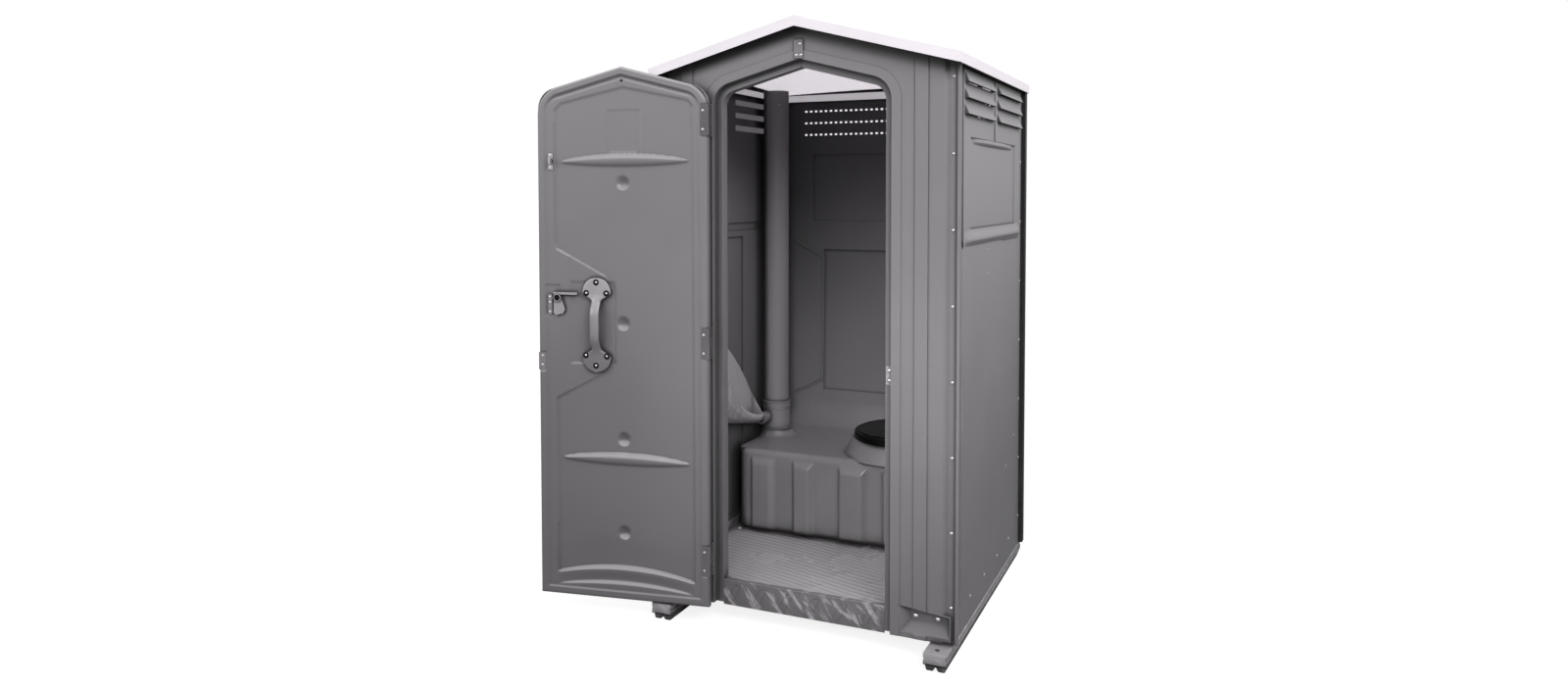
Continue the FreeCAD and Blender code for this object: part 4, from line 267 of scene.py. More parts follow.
def new_group(name, output="Mask", **inputs):
    """An empty group whose named inputs are numbers with the given start values."""
    tree = bpy.data.node_groups.new(name, "ShaderNodeTree")
    for label, start in inputs.items():
        socket = tree.interface.new_socket(name=label, in_out="INPUT", socket_type="NodeSocketFloat")
        socket.default_value = start
    tree.interface.new_socket(name=output, in_out="OUTPUT", socket_type="NodeSocketFloat")
    return tree, tree.nodes.new("NodeGroupInput").outputs, tree.nodes.new("NodeGroupOutput").inputs[0]


def put_out(tree, given, out, mask):
    """Puts out a mask, as strong as the Amount input says."""
    tree.links.new(times(tree, mask, given["Amount"]), out)
    return tree


def mapped(tree, vector, scale=(1, 1, 1), turn=(0, 0, 0)):
    return node(tree, "ShaderNodeMapping", Vector=vector, Rotation=turn, Scale=scale).outputs[0]


def clouds(tree, scale, detail, roughness=0.5, stretch=(1, 1, 1)):
    """Noise in the piece's own coordinates, stretched."""
    place = mapped(tree, own(tree), stretch)
    made = node(tree, "ShaderNodeTexNoise", Vector=place, Scale=scale, Detail=detail, Roughness=roughness)
    return made.outputs[0]


def grain_group():
    """A fine grain over a coarser one."""
    tree, given, out = new_group("moulded_grain", "Height", Size=0.0016)
    fine = clouds(tree, maths(tree, "DIVIDE", 1.0, given["Size"]), 2.0, 0.6)
    coarse = times(tree, clouds(tree, 38.0, 2.0), 0.8)
    tree.links.new(maths(tree, "ADD", fine, coarse), out)
    return tree


def tone_group():
    """Slow patches of tone, drawn out along the height."""
    tree, given, out = new_group("drawn_tone", Patch=0.35, Streak=0.5)
    patch = clouds(tree, maths(tree, "DIVIDE", 1.0, given["Patch"]), 4.0, 0.55)
    streak = maths(tree, "SUBTRACT", clouds(tree, 1.0, 5.0, stretch=(26, 26, 1.1)), 0.5)
    lines = times(tree, streak, given["Streak"])
    tree.links.new(ramp(tree, maths(tree, "ADD", patch, lines), 0.3, 0.7), out)
    return tree


def edge_group():
    """Where a rounded normal departs from the true one, there is an edge to rub."""
    tree, given, out = new_group("rubbed_edges", Amount=0.5)
    rounded = node(tree, "ShaderNodeBevel", {"samples": 4}, Radius=RUB_REACH)
    true = node(tree, "ShaderNodeNewGeometry").outputs["Normal"]
    edge = ramp(tree, rest_of(tree, dot(tree, rounded.outputs[0], true)), 0.02, 0.22)
    gaps = times(tree, ramp(tree, clouds(tree, 55.0, 5.0, 0.7), 0.35, 0.62), RUB_BREAKUP)
    return put_out(tree, given, out, times(tree, edge, rest_of(tree, gaps)))


def dust_group():
    """Dust thickens towards the ground and lies on what faces up."""
    tree, given, out = new_group("settled_dust", Amount=0.25, Reach=0.6)
    low = rest_of(tree, maths(tree, "DIVIDE", spot_of(tree)[2], given["Reach"]), clamp=True)
    top = times(tree, ramp(tree, facing_of(tree)[2], 0.55, 0.95), DUST_ON_TOP)
    patchy = ramp(tree, clouds(tree, 9.0, 7.0, 0.65, (1, 1, 0.5)), 0.36, 0.68)
    dust_and_highlight = maths(tree, "MAXIMUM", low, top)
    return put_out(tree, given, out, times(tree, dust_and_highlight, patchy, clamp=True))


def scuff_group():
    """Short light scratches that run mostly one way."""
    tree, given, out = new_group("scuffs", Amount=0.15)
    thin = ramp(tree, clouds(tree, 1.0, 6.0, 0.7, (95, 95, 16)), 0.6, 0.72)
    where = ramp(tree, clouds(tree, 6.5, 3.0), 0.5, 0.68)
    return put_out(tree, given, out, times(tree, thin, where))


def corner_group():
    """Painted shade where surfaces meet, and under what overhangs."""
    tree, given, out = new_group("shaded_corners", Amount=0.75)
    fine, wide = (node(tree, "ShaderNodeAmbientOcclusion", {"samples": 6}, Distance=reach).outputs["AO"]
                  for reach in (CREVICE, RECESS))
    hidden = rest_of(tree, times(tree, fine, wide))
    return put_out(tree, given, out, ramp(tree, hidden, 0.12, 0.5))


def eave_group():
    """Painted shadow under the eave: a band below a level that falls away from the ridge."""
    tree, given, out = new_group("painted_eave_shadow", Amount=0.85, Level=2.105, Slope=0.267)
    spot = spot_of(tree)
    fall = times(tree, maths(tree, "ABSOLUTE", spot[0]), given["Slope"])
    above = maths(tree, "SUBTRACT", maths(tree, "ADD", spot[2], fall), given["Level"])
    return put_out(tree, given, out, ramp(tree, above, *EAVE_BAND))


def vent_group():
    """A painted glow of daylight inside the vents: faces beyond the walls that look back into the cabin."""
    tree, given, out = new_group("painted_vent_glow", Amount=0.5)
    spot, face = spot_of(tree), facing_of(tree)
    behind = times(tree, ramp(tree, spot[1], *BEHIND_REAR), ramp(tree, face[1], *LOOKS_BACK))
    side = times(tree, maths(tree, "SIGN", spot[0]), face[0])
    outside = ramp(tree, maths(tree, "ABSOLUTE", spot[0]), *BESIDE_WALL)
    beside = times(tree, outside, ramp(tree, side, *LOOKS_BACK))
    high, caught = ramp(tree, spot[2], *VENTS_FROM), maths(tree, "MAXIMUM", behind, beside)
    return put_out(tree, given, out, times(tree, caught, high))


def smear_group():
    """Broad pale strokes that run aslant, as boots and crates leave them."""
    tree, given, out = new_group("slanting_smears", Amount=0.5)
    drawn = mapped(tree, mapped(tree, own(tree), turn=SMEAR_TURN), (42, 14, 9))
    stroke = node(tree, "ShaderNodeTexNoise", Vector=drawn, Scale=1.0, Detail=4.0, Roughness=0.6,
                  Distortion=0.6)
    return put_out(tree, given, out, ramp(tree, stroke.outputs[0], 0.5, 0.66))


GRAIN, TONE, EDGES, DUST, SCUFFS = grain_group(), tone_group(), edge_group(), dust_group(), scuff_group()
CORNER_SHADE, EAVE_SHADOW, VENT_GLOW, SMEARS = corner_group(), eave_group(), vent_group(), smear_group()
print("node groups:", [g.name for g in bpy.data.node_groups])

# %% [markdown]
# ## Finishes
# The panels, door, tank and pipe are one grey polyethylene, but each was moulded by itself and has
# aged by itself, so each gets its own tone. Its grey fades with height, which is painted light and
# shade, and walls are painted darker inside, as shade, with a second pair of greys outside. Layer
# lies over layer: slow changes of tone, rubbed edges, scuffs, dust and smears as on the real sheet,
# then a painted highlight on the door's upward slopes, and last painted shade under the eave and in
# corners. Metal gets dull spots and rolling marks, and the roof lets daylight through, with a painted
# glow on it and in the vents.

# %% Plastic
GRAIN_DEPTH = 0.00012
RUBBED_MOST, SCUFFED_MOST, SCUFFS_PALER = 235, 225, 45
DUST_GREY, UPWARD_HIGHLIGHT_GREY, SMEAR_GREY, EAVE_SHADOW_GREY, CORNER_SHADE_GREY, DAY_GREY = 150, 205, 210, 30, 24, 250


def grey(level, warmth=0.0):
    """A near-neutral colour from a screen grey of 0 to 255."""
    linear = ((level / 255 + 0.055) / 1.055) ** 2.4
    return (linear * (1 + warmth), linear * 0.955, linear * (1.005 - warmth), 1)


def effect(tree, group, **inputs):
    return node(tree, "ShaderNodeGroup", {"node_tree": group}, **inputs).outputs[0]


def new_material(name, roughness, metallic=0.0, specular=0.5):
    material = bpy.data.materials.new(name)
    tree = empty_tree(material)
    shader = node(tree, "ShaderNodeBsdfPrincipled", Roughness=roughness, Metallic=metallic,
                  Specular_IOR_Level=specular)
    node(tree, "ShaderNodeOutputMaterial", Surface=shader.outputs[0])
    return material, tree, shader


def add_bump(tree, shader, height, depth):
    bump = node(tree, "ShaderNodeBump", Strength=1.0, Distance=depth, Height=height)
    fill(tree, shader, Normal=bump.outputs[0])


def add_glow(tree, shader, strength):
    """A glow that stands for daylight behind thin plastic. Only the camera sees it."""
    seen = node(tree, "ShaderNodeLightPath").outputs["Is Camera Ray"]
    fill(tree, shader, Emission_Strength=times(tree, strength, seen), Emission_Color=grey(DAY_GREY))


def shaded_by_height(tree, levels, top, foot):
    """Painted light and shade by height: one grey at the lower level that fades into another at the upper
    one.
    """
    return blend_colours(tree, ramp(tree, spot_of(tree)[2], *levels), grey(foot), grey(top))


def plastic(name, top, foot, rubbed=40, edge=0.5, dust=0.25, dust_reach=0.6, roughness=0.5, scuffs=0.15,
            streak=0.25, levels=(0.1, 1.9), specular=0.4, shade=0.75, smears=0.0, patchy=1.0, eave=None,
            vents=0.0, outside=None, upward_highlight=0.0):
    """Moulded polyethylene. Top and foot are its greys at two levels, and the fade between them is painted
    light and shade; outside is the same pair for faces that look out of the cabin, and rubbed is how
    much paler an edge is. The rest are mostly strengths."""
    material, tree, shader = new_material(name, roughness, specular=specular)
    # Painted light and shade: the grey fades from the foot to the top.
    base = shaded_by_height(tree, levels, top, foot)
    # Faces that look out get their own greys; the darker greys inside are painted shade.
    if outside:
        looks_out = ramp(tree, dot(tree, own(tree), own(tree, "Normal")), 0.1, 0.3)
        base = blend_colours(tree, looks_out, base, shaded_by_height(tree, levels, *outside))
    tone = effect(tree, TONE, Streak=streak)
    low, high = 1 - 0.08 * patchy, 1 + 0.05 * patchy
    tint = blend_colours(tree, tone, (low, low, low, 1), (high, high, high, 1))
    base = blend_colours(tree, 1.0, base, tint, "MULTIPLY")
    base = blend_colours(tree, effect(tree, EDGES, Amount=edge), base, grey(min(top + rubbed, RUBBED_MOST)))
    scratched = grey(min(top + SCUFFS_PALER, SCUFFED_MOST))
    base = blend_colours(tree, effect(tree, SCUFFS, Amount=scuffs), base, scratched)
    dirt = effect(tree, DUST, Amount=dust, Reach=dust_reach)
    base = blend_colours(tree, dirt, base, grey(DUST_GREY, 0.01))
    # A painted highlight: faces that slope upwards are made paler, as where light falls from above.
    if upward_highlight:
        slope = axes_of(tree, own(tree, "Normal"))[2]
        dust_and_highlight = times(tree, ramp(tree, slope, 0.12, 0.42), upward_highlight)
        base = blend_colours(tree, dust_and_highlight, base, grey(UPWARD_HIGHLIGHT_GREY))
    if smears:
        base = blend_colours(tree, effect(tree, SMEARS, Amount=smears), base, grey(SMEAR_GREY))
    # Painted shadow in a dark band under the eave.
    if eave:
        under = effect(tree, EAVE_SHADOW, Level=eave[0], Slope=eave[1])
        base = blend_colours(tree, under, base, grey(EAVE_SHADOW_GREY))
    # Painted shade in corners and under overhangs, near black.
    if shade:
        base = blend_colours(tree, effect(tree, CORNER_SHADE, Amount=shade), base, grey(CORNER_SHADE_GREY))
    rough = maths(tree, "ADD", roughness - 0.06, times(tree, tone, 0.12))
    rougher = maths(tree, "ADD", rough, times(tree, dirt, 0.4), clamp=True)
    fill(tree, shader, Base_Color=base, Roughness=rougher)
    # A painted glow inside the vents, which only the camera sees.
    if vents:
        add_glow(tree, shader, effect(tree, VENT_GLOW, Amount=vents))
    add_bump(tree, shader, effect(tree, GRAIN), GRAIN_DEPTH)
    return material


FRONT = plastic("front_panel_grey", 142, 108, dust=0.1, patchy=0.5, eave=(2.106, 0.267))
DOOR = plastic("door_grey", 141, 110, dust=0.04, scuffs=0.06, streak=0.05, edge=0.75, rubbed=55, patchy=0.4,
               roughness=0.4, upward_highlight=0.45)
SIDE = plastic("side_wall_grey", 132, 98, dust=0.12, levels=(0.2, 1.7), patchy=0.7, eave=(1.962, 0.0),
               vents=0.1, outside=(158, 112))
# Painted shade: the rear wall is darker inside than outside, and darkest at the top.
INNER = plastic("rear_wall_grey", 108, 130, edge=0.25, dust=0.05, levels=(0.5, 1.8), shade=0.45,
                patchy=0.5, vents=0.9, outside=(154, 114))
TANK = plastic("tank_grey", 130, 132, edge=0.4, rubbed=60, dust=0.1, dust_reach=0.4, roughness=0.34,
               levels=(0.15, 0.5), specular=0.5)
PIPE = plastic("pipe_grey", 165, 134, rubbed=70, roughness=0.42, dust=0.0, scuffs=0.0, streak=0.0,
               patchy=0.15, specular=0.35)
URINAL = plastic("urinal_grey", 200, 190, edge=0.9, rubbed=70, roughness=0.3, dust=0.05, scuffs=0.05,
                 shade=0.6)
FLOOR = plastic("floor_pan_grey", 168, 168, edge=0.0, dust=0.0, roughness=0.26, scuffs=0.0, specular=0.7,
                patchy=0.6)
SILL = plastic("sill_grey", 108, 98, edge=0.8, rubbed=90, dust=0.1, scuffs=0.4, levels=(0.06, 0.15),
               smears=0.5)
SKID = plastic("skid_grey", 160, 112, edge=0.9, rubbed=60, dust=0.2, scuffs=0.9, levels=(0.0, 0.06),
               smears=0.5)
BLACK = plastic("black_plastic", 12, 12, edge=0.3, rubbed=30, dust=0.0, roughness=0.38, scuffs=0.0,
                shade=0.0, specular=0.15)
TRIM = plastic("black_trim", 30, 26, edge=0.25, rubbed=30, dust=0.1, scuffs=0.1, shade=0.0)
# Painted light and shade: the handle's upper pad is lighter, its lower pad darker.
CASTING = plastic("cast_handle_grey", 172, 124, edge=0.6, rubbed=60, roughness=0.26, dust=0.0,
                  levels=(0.9, 1.22), specular=0.7, shade=0.7)
PAINTED = plastic("painted_steel_grey", 104, 96, edge=0.7, rubbed=60, dust=0.1, roughness=0.42, scuffs=0.3)
print("plastics:", len(bpy.data.materials))

# %% Metal, roof and paper


def metal(name, level, roughness, tarnish=0.35):
    """Zinc-plated steel: bright, with dull spots and fine rolling marks."""
    material, tree, shader = new_material(name, roughness, metallic=1.0)
    dull = times(tree, ramp(tree, clouds(tree, 160.0, 5.0, 0.65), 0.42, 0.7), tarnish)
    colour = blend_colours(tree, dull, grey(level), grey(level * 0.55))
    fill(tree, shader, Base_Color=colour, Roughness=maths(tree, "ADD", roughness, times(tree, dull, 0.5)))
    add_bump(tree, shader, clouds(tree, 1.0, 3.0, stretch=(60, 60, 900)), 0.00003)
    return material


ROOF_GLOW, ROOF_OUTER_GLOW = 0.62, 0.3
ROOF_HALF, ROOF_DEEP, ROOF_AHEAD = 0.534, 0.564, 0.006


def roof_skin():
    """Milky sheet that passes daylight. Its underside has a painted glow over the cabin and is painted dark
    past the walls, as shade; its outside has a fainter painted glow.
    """
    material, tree, shader = new_material("milky_roof", 0.5, specular=0.3)
    tone = effect(tree, TONE, Streak=0.1, Patch=0.5)
    spot = spot_of(tree)
    below = ramp(tree, facing_of(tree)[2], -0.2, -0.5)
    aside = maths(tree, "SUBTRACT", maths(tree, "ABSOLUTE", spot[0]), ROOF_HALF)
    ahead = maths(tree, "ABSOLUTE", maths(tree, "ADD", spot[1], ROOF_AHEAD))
    past = maths(tree, "MAXIMUM", aside, maths(tree, "SUBTRACT", ahead, ROOF_DEEP))
    beyond = times(tree, below, ramp(tree, past, -0.002, 0.002))
    # Painted shade: the underside past the walls is made dark grey.
    colour = blend_colours(tree, beyond, blend_colours(tree, tone, grey(238), grey(248)), grey(38))
    fill(tree, shader, Base_Color=colour, Transmission_Weight=0.3, IOR=1.3)
    # Painted glow: strong on the underside over the cabin, fainter outside.
    inner = times(tree, maths(tree, "SUBTRACT", below, beyond), ROOF_GLOW)
    outer = times(tree, rest_of(tree, below), ROOF_OUTER_GLOW)
    add_glow(tree, shader, maths(tree, "MAXIMUM", inner, outer))
    add_bump(tree, shader, effect(tree, GRAIN, Size=0.003), 0.0002)
    return material


def paper():
    """Soft tissue with a quilted face."""
    material, tree, shader = new_material("tissue", 0.9, specular=0.1)
    soft = clouds(tree, 420.0, 4.0)
    fill(tree, shader, Base_Color=blend_colours(tree, soft, grey(222), grey(246)))
    add_bump(tree, shader, soft, 0.0004)
    return material


ZINC = metal("zinc_rivet", 222, 0.3)
STEEL = metal("dull_steel", 170, 0.38, 0.5)
LEVER = plastic("cast_lever_grey", 168, 168, edge=0.8, rubbed=50, roughness=0.3, dust=0.0, specular=0.7,
                shade=0.85)
PLATED = plastic("plated_steel", 196, 196, edge=0.4, rubbed=30, roughness=0.3, dust=0.0, specular=0.9,
                 shade=0.9)
ROOF = roof_skin()
PAPER = paper()
print("materials:", len(bpy.data.materials))

# %% [markdown]
# ## Rounded copies of the measured parts
# A measured solid has knife edges, and real moulded sheet never does. Each copy is merged, its flat
# faces are joined up, its sharp edges are bevelled, and weighted normals keep the flats flat. The
# copy stands for the measured part and rides on the same body.

# %% Helper: a rounded copy
BODY_OF = {name: body for body, names in frame["record"]["behaviour"]["bodies"].items() for name in names}
SAME_POINT = 0.00002
FLAT_ANGLE, SHARP_ANGLE = math.radians(0.6), math.radians(32)
SHORTEST_EDGE = 0.006


def finish_mesh(shape, name, material, sharp=38):
    """Turns a bmesh into a piece with smooth shading that stays crisp at sharp edges."""
    mesh = bpy.data.meshes.new(name)
    shape.to_mesh(mesh)
    shape.free()
    for face in mesh.polygons:
        face.use_smooth = True
    mesh.set_sharp_from_angle(angle=math.radians(sharp))
    mesh.materials.append(material)
    piece = bpy.data.objects.new(name, mesh)
    bpy.context.scene.collection.objects.link(piece)
    even = piece.modifiers.new("even_shading", "WEIGHTED_NORMAL")
    even.keep_sharp = True
    even.weight = 60
    return piece


def carried(piece, body):
    """The piece rides on a body."""
    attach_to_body(piece, body)
    return piece


def attach(piece, node_name):
    """The piece rides on the body of a measured part, and stands for it: the measured part is hidden."""
    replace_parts(carried(piece, BODY_OF[node_name]), node_name)
    return piece


def weld(shape):
    bmesh.ops.remove_doubles(shape, verts=shape.verts, dist=SAME_POINT)


def merged(node_name):
    """A measured part's mesh, its points joined up and its flat faces made whole."""
    shape = bmesh.new()
    shape.from_mesh(frame["nodes"][node_name].data)
    for face in shape.faces:
        face.material_index = 0
    weld(shape)
    bmesh.ops.dissolve_limit(shape, angle_limit=FLAT_ANGLE, verts=shape.verts, edges=shape.edges,
                             use_dissolve_boundaries=False)
    return shape


def step(value, low, high):
    """A smooth step from nought to one between two limits."""
    share = min(1.0, max(0.0, (value - low) / (high - low)))
    return share * share * (3 - 2 * share)


def round_edges(shape, width, least=SHORTEST_EDGE, clamp=False):
    """Bevels every sharp edge that is longer than the least length."""
    edges = [e for e in shape.edges if len(e.link_faces) == 2 and e.calc_face_angle(0) > SHARP_ANGLE
             and e.calc_length() > least]
    bmesh.ops.bevel(shape, geom=edges, offset=width, offset_type="OFFSET", segments=2, profile=0.5,
                    affect="EDGES", material=-1, clamp_overlap=clamp, loop_slide=True)


def softened(node_name, material, width):
    shape = merged(node_name)
    round_edges(shape, width)
    return attach(finish_mesh(shape, "soft_" + node_name, material), node_name)


# %% Panels, floor and skids
SOFT = (
    ("front_left_panel", FRONT, 0.0012), ("front_right_panel", FRONT, 0.0012),
    ("gable_joint_plate", FRONT, 0.0012), ("left_wall", SIDE, 0.0015), ("right_wall", SIDE, 0.0015),
    ("rear_wall", INNER, 0.001), ("rear_corner_trim_left", TRIM, 0.0015),
    ("rear_corner_trim_right", TRIM, 0.0015), ("floor_pan", FLOOR, 0.0015), ("sill_apron", SILL, 0.0012),
    ("skid_left", SKID, 0.003), ("skid_right", SKID, 0.003), ("door_outer_skin", DOOR, 0.0012),
    ("urinal_bowl", URINAL, 0.0015), ("seat_ring", BLACK, 0.003), ("seat_lid", BLACK, 0.003),
    ("paper_holder", BLACK, 0.0007),
)
for name, finish, width in SOFT:
    softened(name, finish, width)
print("rounded copies:", len(SOFT))

# %% [markdown]
# ## The door's inner face
# The door is blow-moulded: the face that one sees when it stands open is one skin, pressed into a
# tool. Everything on it is relief, so it is made as one sheet, drawn flat and then pressed. The sheet
# is laid out on the closed door. Across it runs s, the distance from the hinge edge, and up it runs z,
# both in millimetres.

# %% The relief, in millimetres
MM = 0.001
DOOR_WIDE, DOOR_FOOT, DOOR_APEX = 648.0, 65.0, 1996.7
DOOR_MIDDLE = DOOR_WIDE / 2
GABLE = 0.267
SHOULDER, SHOULDER_DROP = 76.0, 0.86
RIM_ROUND = 11.0
BORDER_LEVEL, FIELD_LEVEL = -2.0, -6.5
FIELD_DROP = FIELD_LEVEL - BORDER_LEVEL
FIELD = ((52, 145), (576, 149), (580, 795), (376, 904), (356, 942), (356, 1188), (389, 1242), (577, 1341),
         (584, 1361), (584, 1846), (559, 1872), (317, 1926), (71, 1874), (54, 1852))


def door_top(s):
    """Level of the door's upper outline, with its rounded shoulders."""
    aside = min(s, DOOR_WIDE - s)
    line = DOOR_APEX - GABLE * (DOOR_MIDDLE - aside)
    inside = max(0.0, SHOULDER - aside)
    return line - (SHOULDER - math.sqrt(max(0.0, SHOULDER ** 2 - inside ** 2))) * SHOULDER_DROP


def edge_distance(s, z):
    """Distances to the sides, to the gable, and to the nearest outline, rounded at the shoulder."""
    side = min(s, DOOR_WIDE - s)
    gable = (DOOR_APEX - GABLE * abs(s - DOOR_MIDDLE) - z) / math.hypot(1, GABLE)
    corner = SHOULDER - math.hypot(max(0.0, SHOULDER - side), max(0.0, SHOULDER - gable))
    return side, gable, min(corner, z - DOOR_FOOT)


def inside_distance(s, z, outline):
    """How far a place lies inside a polygon: positive inside, negative outside."""
    nearest, inside = math.inf, False
    for (ax, az), (bx, bz) in zip(outline, outline[1:] + outline[:1]):
        length = (bx - ax) ** 2 + (bz - az) ** 2
        share = min(1.0, max(0.0, ((s - ax) * (bx - ax) + (z - az) * (bz - az)) / length))
        nearest = min(nearest, math.hypot(s - ax - share * (bx - ax), z - az - share * (bz - az)))
        if (az > z) != (bz > z) and s < ax + (z - az) * (bx - ax) / (bz - az):
            inside = not inside
    return nearest if inside else -nearest


FIELD_FROM, WIDE_SLOPES_FROM = DOOR_FOOT + 30, 1800
FOOT_BENDS, FOOT_MIDDLE, FOOT_HALF = 330, 318, 262
FOOT_UPPER, FOOT_LOWER = (149, 26), (104, 15)
FOOT_DIP, FOOT_BAND, FOOT_FADE, FOOT_BOW = 6, -7, 120, 0.4
LATCH_FIELD, LATCH_DROP = (356, 531, 835, 1310), 1.2


def field_relief(s, z):
    """The pressed field, with wide slopes at its top and two pale steps along its foot."""
    depth = inside_distance(s, z, FIELD)
    level = FIELD_DROP * step(depth, -1, 8 if z > WIDE_SLOPES_FROM else 4)
    u = (s - FOOT_MIDDLE) / FOOT_HALF
    bow = max(0.0, 1 - u * u)
    left, right, low, high = LATCH_FIELD
    if z < FOOT_BENDS and FIELD[0][0] < s < FIELD[2][0]:
        upper, lower = (start + rise * bow for start, rise in (FOOT_UPPER, FOOT_LOWER))
        slope, hollow = 4 + 13 * bow, bow ** FOOT_BOW
        dip = FOOT_DIP * hollow * (1 - step(z, upper + slope, upper + slope + FOOT_FADE))
        band = step(z, lower - 2, lower - 2 + slope) * (1 - step(z, lower + slope, upper - 4))
        level = FOOT_BAND * hollow * band + (FIELD_DROP - dip) * step(z, upper - 2, upper - 2 + slope)
    elif low < z < high and left < s < right and depth < 0:
        level -= LATCH_DROP * step(right - s, 0, 3)
    return level


LENSES, LENS_MIDDLE, LENS_HALF, LENS_THICK, LENS_RISE = (1660, 578), 314, 242, 21, 12.5


def lens_relief(s, z):
    """A long ridge, thick in the middle, that runs out at both ends."""
    u = (s - LENS_MIDDLE) / LENS_HALF
    if abs(u) >= 1:
        return 0.0
    share, rise = 1 - u * u, 0.0
    thick = LENS_THICK * share ** 0.75 + 1
    for level in LENSES:
        v = (z - level + 3 - 5 * share) / thick
        if abs(v) < 1:
            rise = max(rise, LENS_RISE * share ** 0.4 * (1 - v * v) ** 0.75)
    return rise


def pressed_in(s, z, left, right, low, high, depth, slope):
    inside = min(s - left, right - s, z - low, high - z)
    return -depth * step(inside, -slope / 2, slope / 2)


def rim_relief(s, z):
    """The rounded rim, the groove inside it and, towards the gable, a bead between the two."""
    side, gable, edge = edge_distance(s, z)
    rounding = max(0.0, RIM_ROUND - edge)
    level = math.sqrt(max(0.0, RIM_ROUND ** 2 - rounding ** 2)) - RIM_ROUND
    upper = step(side - gable, -30, 60)
    level += BORDER_LEVEL * step(edge, 27, 33)
    level -= (0.8 + 4.2 * upper) * step(edge, 26, 32) * (1 - step(edge, 33, 47))
    return level + 1.2 * upper * step(edge, 18, 24) * (1 - step(edge, 25, 29))


DIMPLES, DIMPLE_ACROSS, DIMPLE_RADIUS, DIMPLE_DEPTH = (1581, 1074, 654, 311), 320, 27, 13
LEDGE_ACROSS, LEDGE_LEVEL, LEDGE_HALF, LEDGE_RISE = (262, 372), 1686, 8, 1.8
POCKETS = ((351, 524, 925, 1222, 3.0, 12), (562, 622, 1097, 1210, 2.5, 4), (621, 660, 893, 962, 4.0, 3),
           (-9, 27, 1744, 1856, 2.8, 3), (-9, 27, 954, 1066, 2.8, 3), (-9, 27, 175, 287, 2.8, 3),
           (252, 377, 1683, 1841, 1.6, 3))


def door_relief(s, z):
    """Height of the face over its own plane at one place."""
    level = rim_relief(s, z)
    if z > FIELD_FROM:
        level += field_relief(s, z) + lens_relief(s, z)
    for middle in DIMPLES:
        away = math.hypot(s - DIMPLE_ACROSS, z - middle) / DIMPLE_RADIUS
        if away < 1:
            level -= DIMPLE_DEPTH * (1 - away * away) ** 1.3
    for pocket in POCKETS:
        level += pressed_in(s, z, *pocket)
    across = step(min(s - LEDGE_ACROSS[0], LEDGE_ACROSS[1] - s), -2, 2)
    return level + LEDGE_RISE * across * step(LEDGE_HALF - abs(z - LEDGE_LEVEL), -1, 3)


# %% Press the sheet
HINGE_AXIS = Vector((-0.327, -0.595, 0.0))
DOOR_SWUNG = math.radians(-169.1)
DOOR_INSIDE = -0.557
ROUND_BENDS = (0, 25, 50, 70)


def metres(x, y, z):
    """A place given in millimetres."""
    return Vector((x * MM, y * MM, z * MM))


def on_door(s, out, z):
    """A place on the closed door: across, out of the inner face, and up, from millimetres."""
    return Vector(((s - DOOR_MIDDLE) * MM, DOOR_INSIDE + out * MM, z * MM))


def hung(shape):
    """Swings what was drawn on the closed door to where the open door stands."""
    turned = Matrix.Rotation(DOOR_SWUNG, 4, "Z")
    swing = Matrix.Translation(HINGE_AXIS) @ turned @ Matrix.Translation(-HINGE_AXIS)
    bmesh.ops.transform(shape, matrix=swing, verts=shape.verts)


def spaced(length, pitch):
    """Places along a length: close together over the rounded ends, even between them."""
    ends = [RIM_ROUND * (1 - math.cos(math.radians(bend))) for bend in ROUND_BENDS]
    middle = length - 2 * RIM_ROUND
    count = round(middle / pitch)
    even = [RIM_ROUND + middle * k / count for k in range(count + 1)]
    return ends + even + [length - e for e in reversed(ends)]


def sheet(columns, rows):
    """A flat grid from -0.5 to 0.5 both ways."""
    shape = bmesh.new()
    bmesh.ops.create_grid(shape, x_segments=columns, y_segments=rows, size=0.5)
    return shape


def door_face(pitch):
    across, up = spaced(DOOR_WIDE, pitch), spaced(DOOR_APEX - DOOR_FOOT, pitch)
    columns, rows = len(across) - 1, len(up) - 1
    shape = sheet(columns, rows)
    for vert in shape.verts:
        s = across[round((vert.co.x + 0.5) * columns)]
        share = up[round((vert.co.y + 0.5) * rows)] / (DOOR_APEX - DOOR_FOOT)
        z = DOOR_FOOT + share * (door_top(s) - DOOR_FOOT)
        vert.co = on_door(s, door_relief(s, z), z)
    bmesh.ops.reverse_faces(shape, faces=shape.faces)
    hung(shape)
    return attach(finish_mesh(shape, "door_face", DOOR, 80), "door_inner_skin")


face = door_face(4.0)
print("door face:", len(face.data.polygons), "faces")

# %% [markdown]
# ## The pull handle and the eye hole
# The handle is one casting: two pads that are screwed down and a grip that arches between them. It is
# a tube of rings here, and each ring is drawn out to the width, height and roundness it has there.
# Black discs in the screws' seats, in the eye hole and on the lever's pivot belong to the same face.

# %% Pull handle
HANDLE_ACROSS, HANDLE_LOW, HANDLE_HIGH = 418.0, 897.0, 1238.0
GRIP_HALF, PAD_HALF, GRIP_THICK, PAD_THICK, HANDLE_REACH = 17.0, 55.0, 17.0, 12.0, 40.0
PAD_LEVEL = 2.0
PAD_FROM, TIP_FROM, TIP_LONG = (0.5, 0.69), 0.66, 0.34
ARCH_OUTSIDE, ARCH_INSIDE = (0.22, 0.66), (0.3, 0.52)
ROUND_GRIP, SQUARE_PAD, SQUARE_FROM = 2.2, 5.0, (0.5, 0.7)


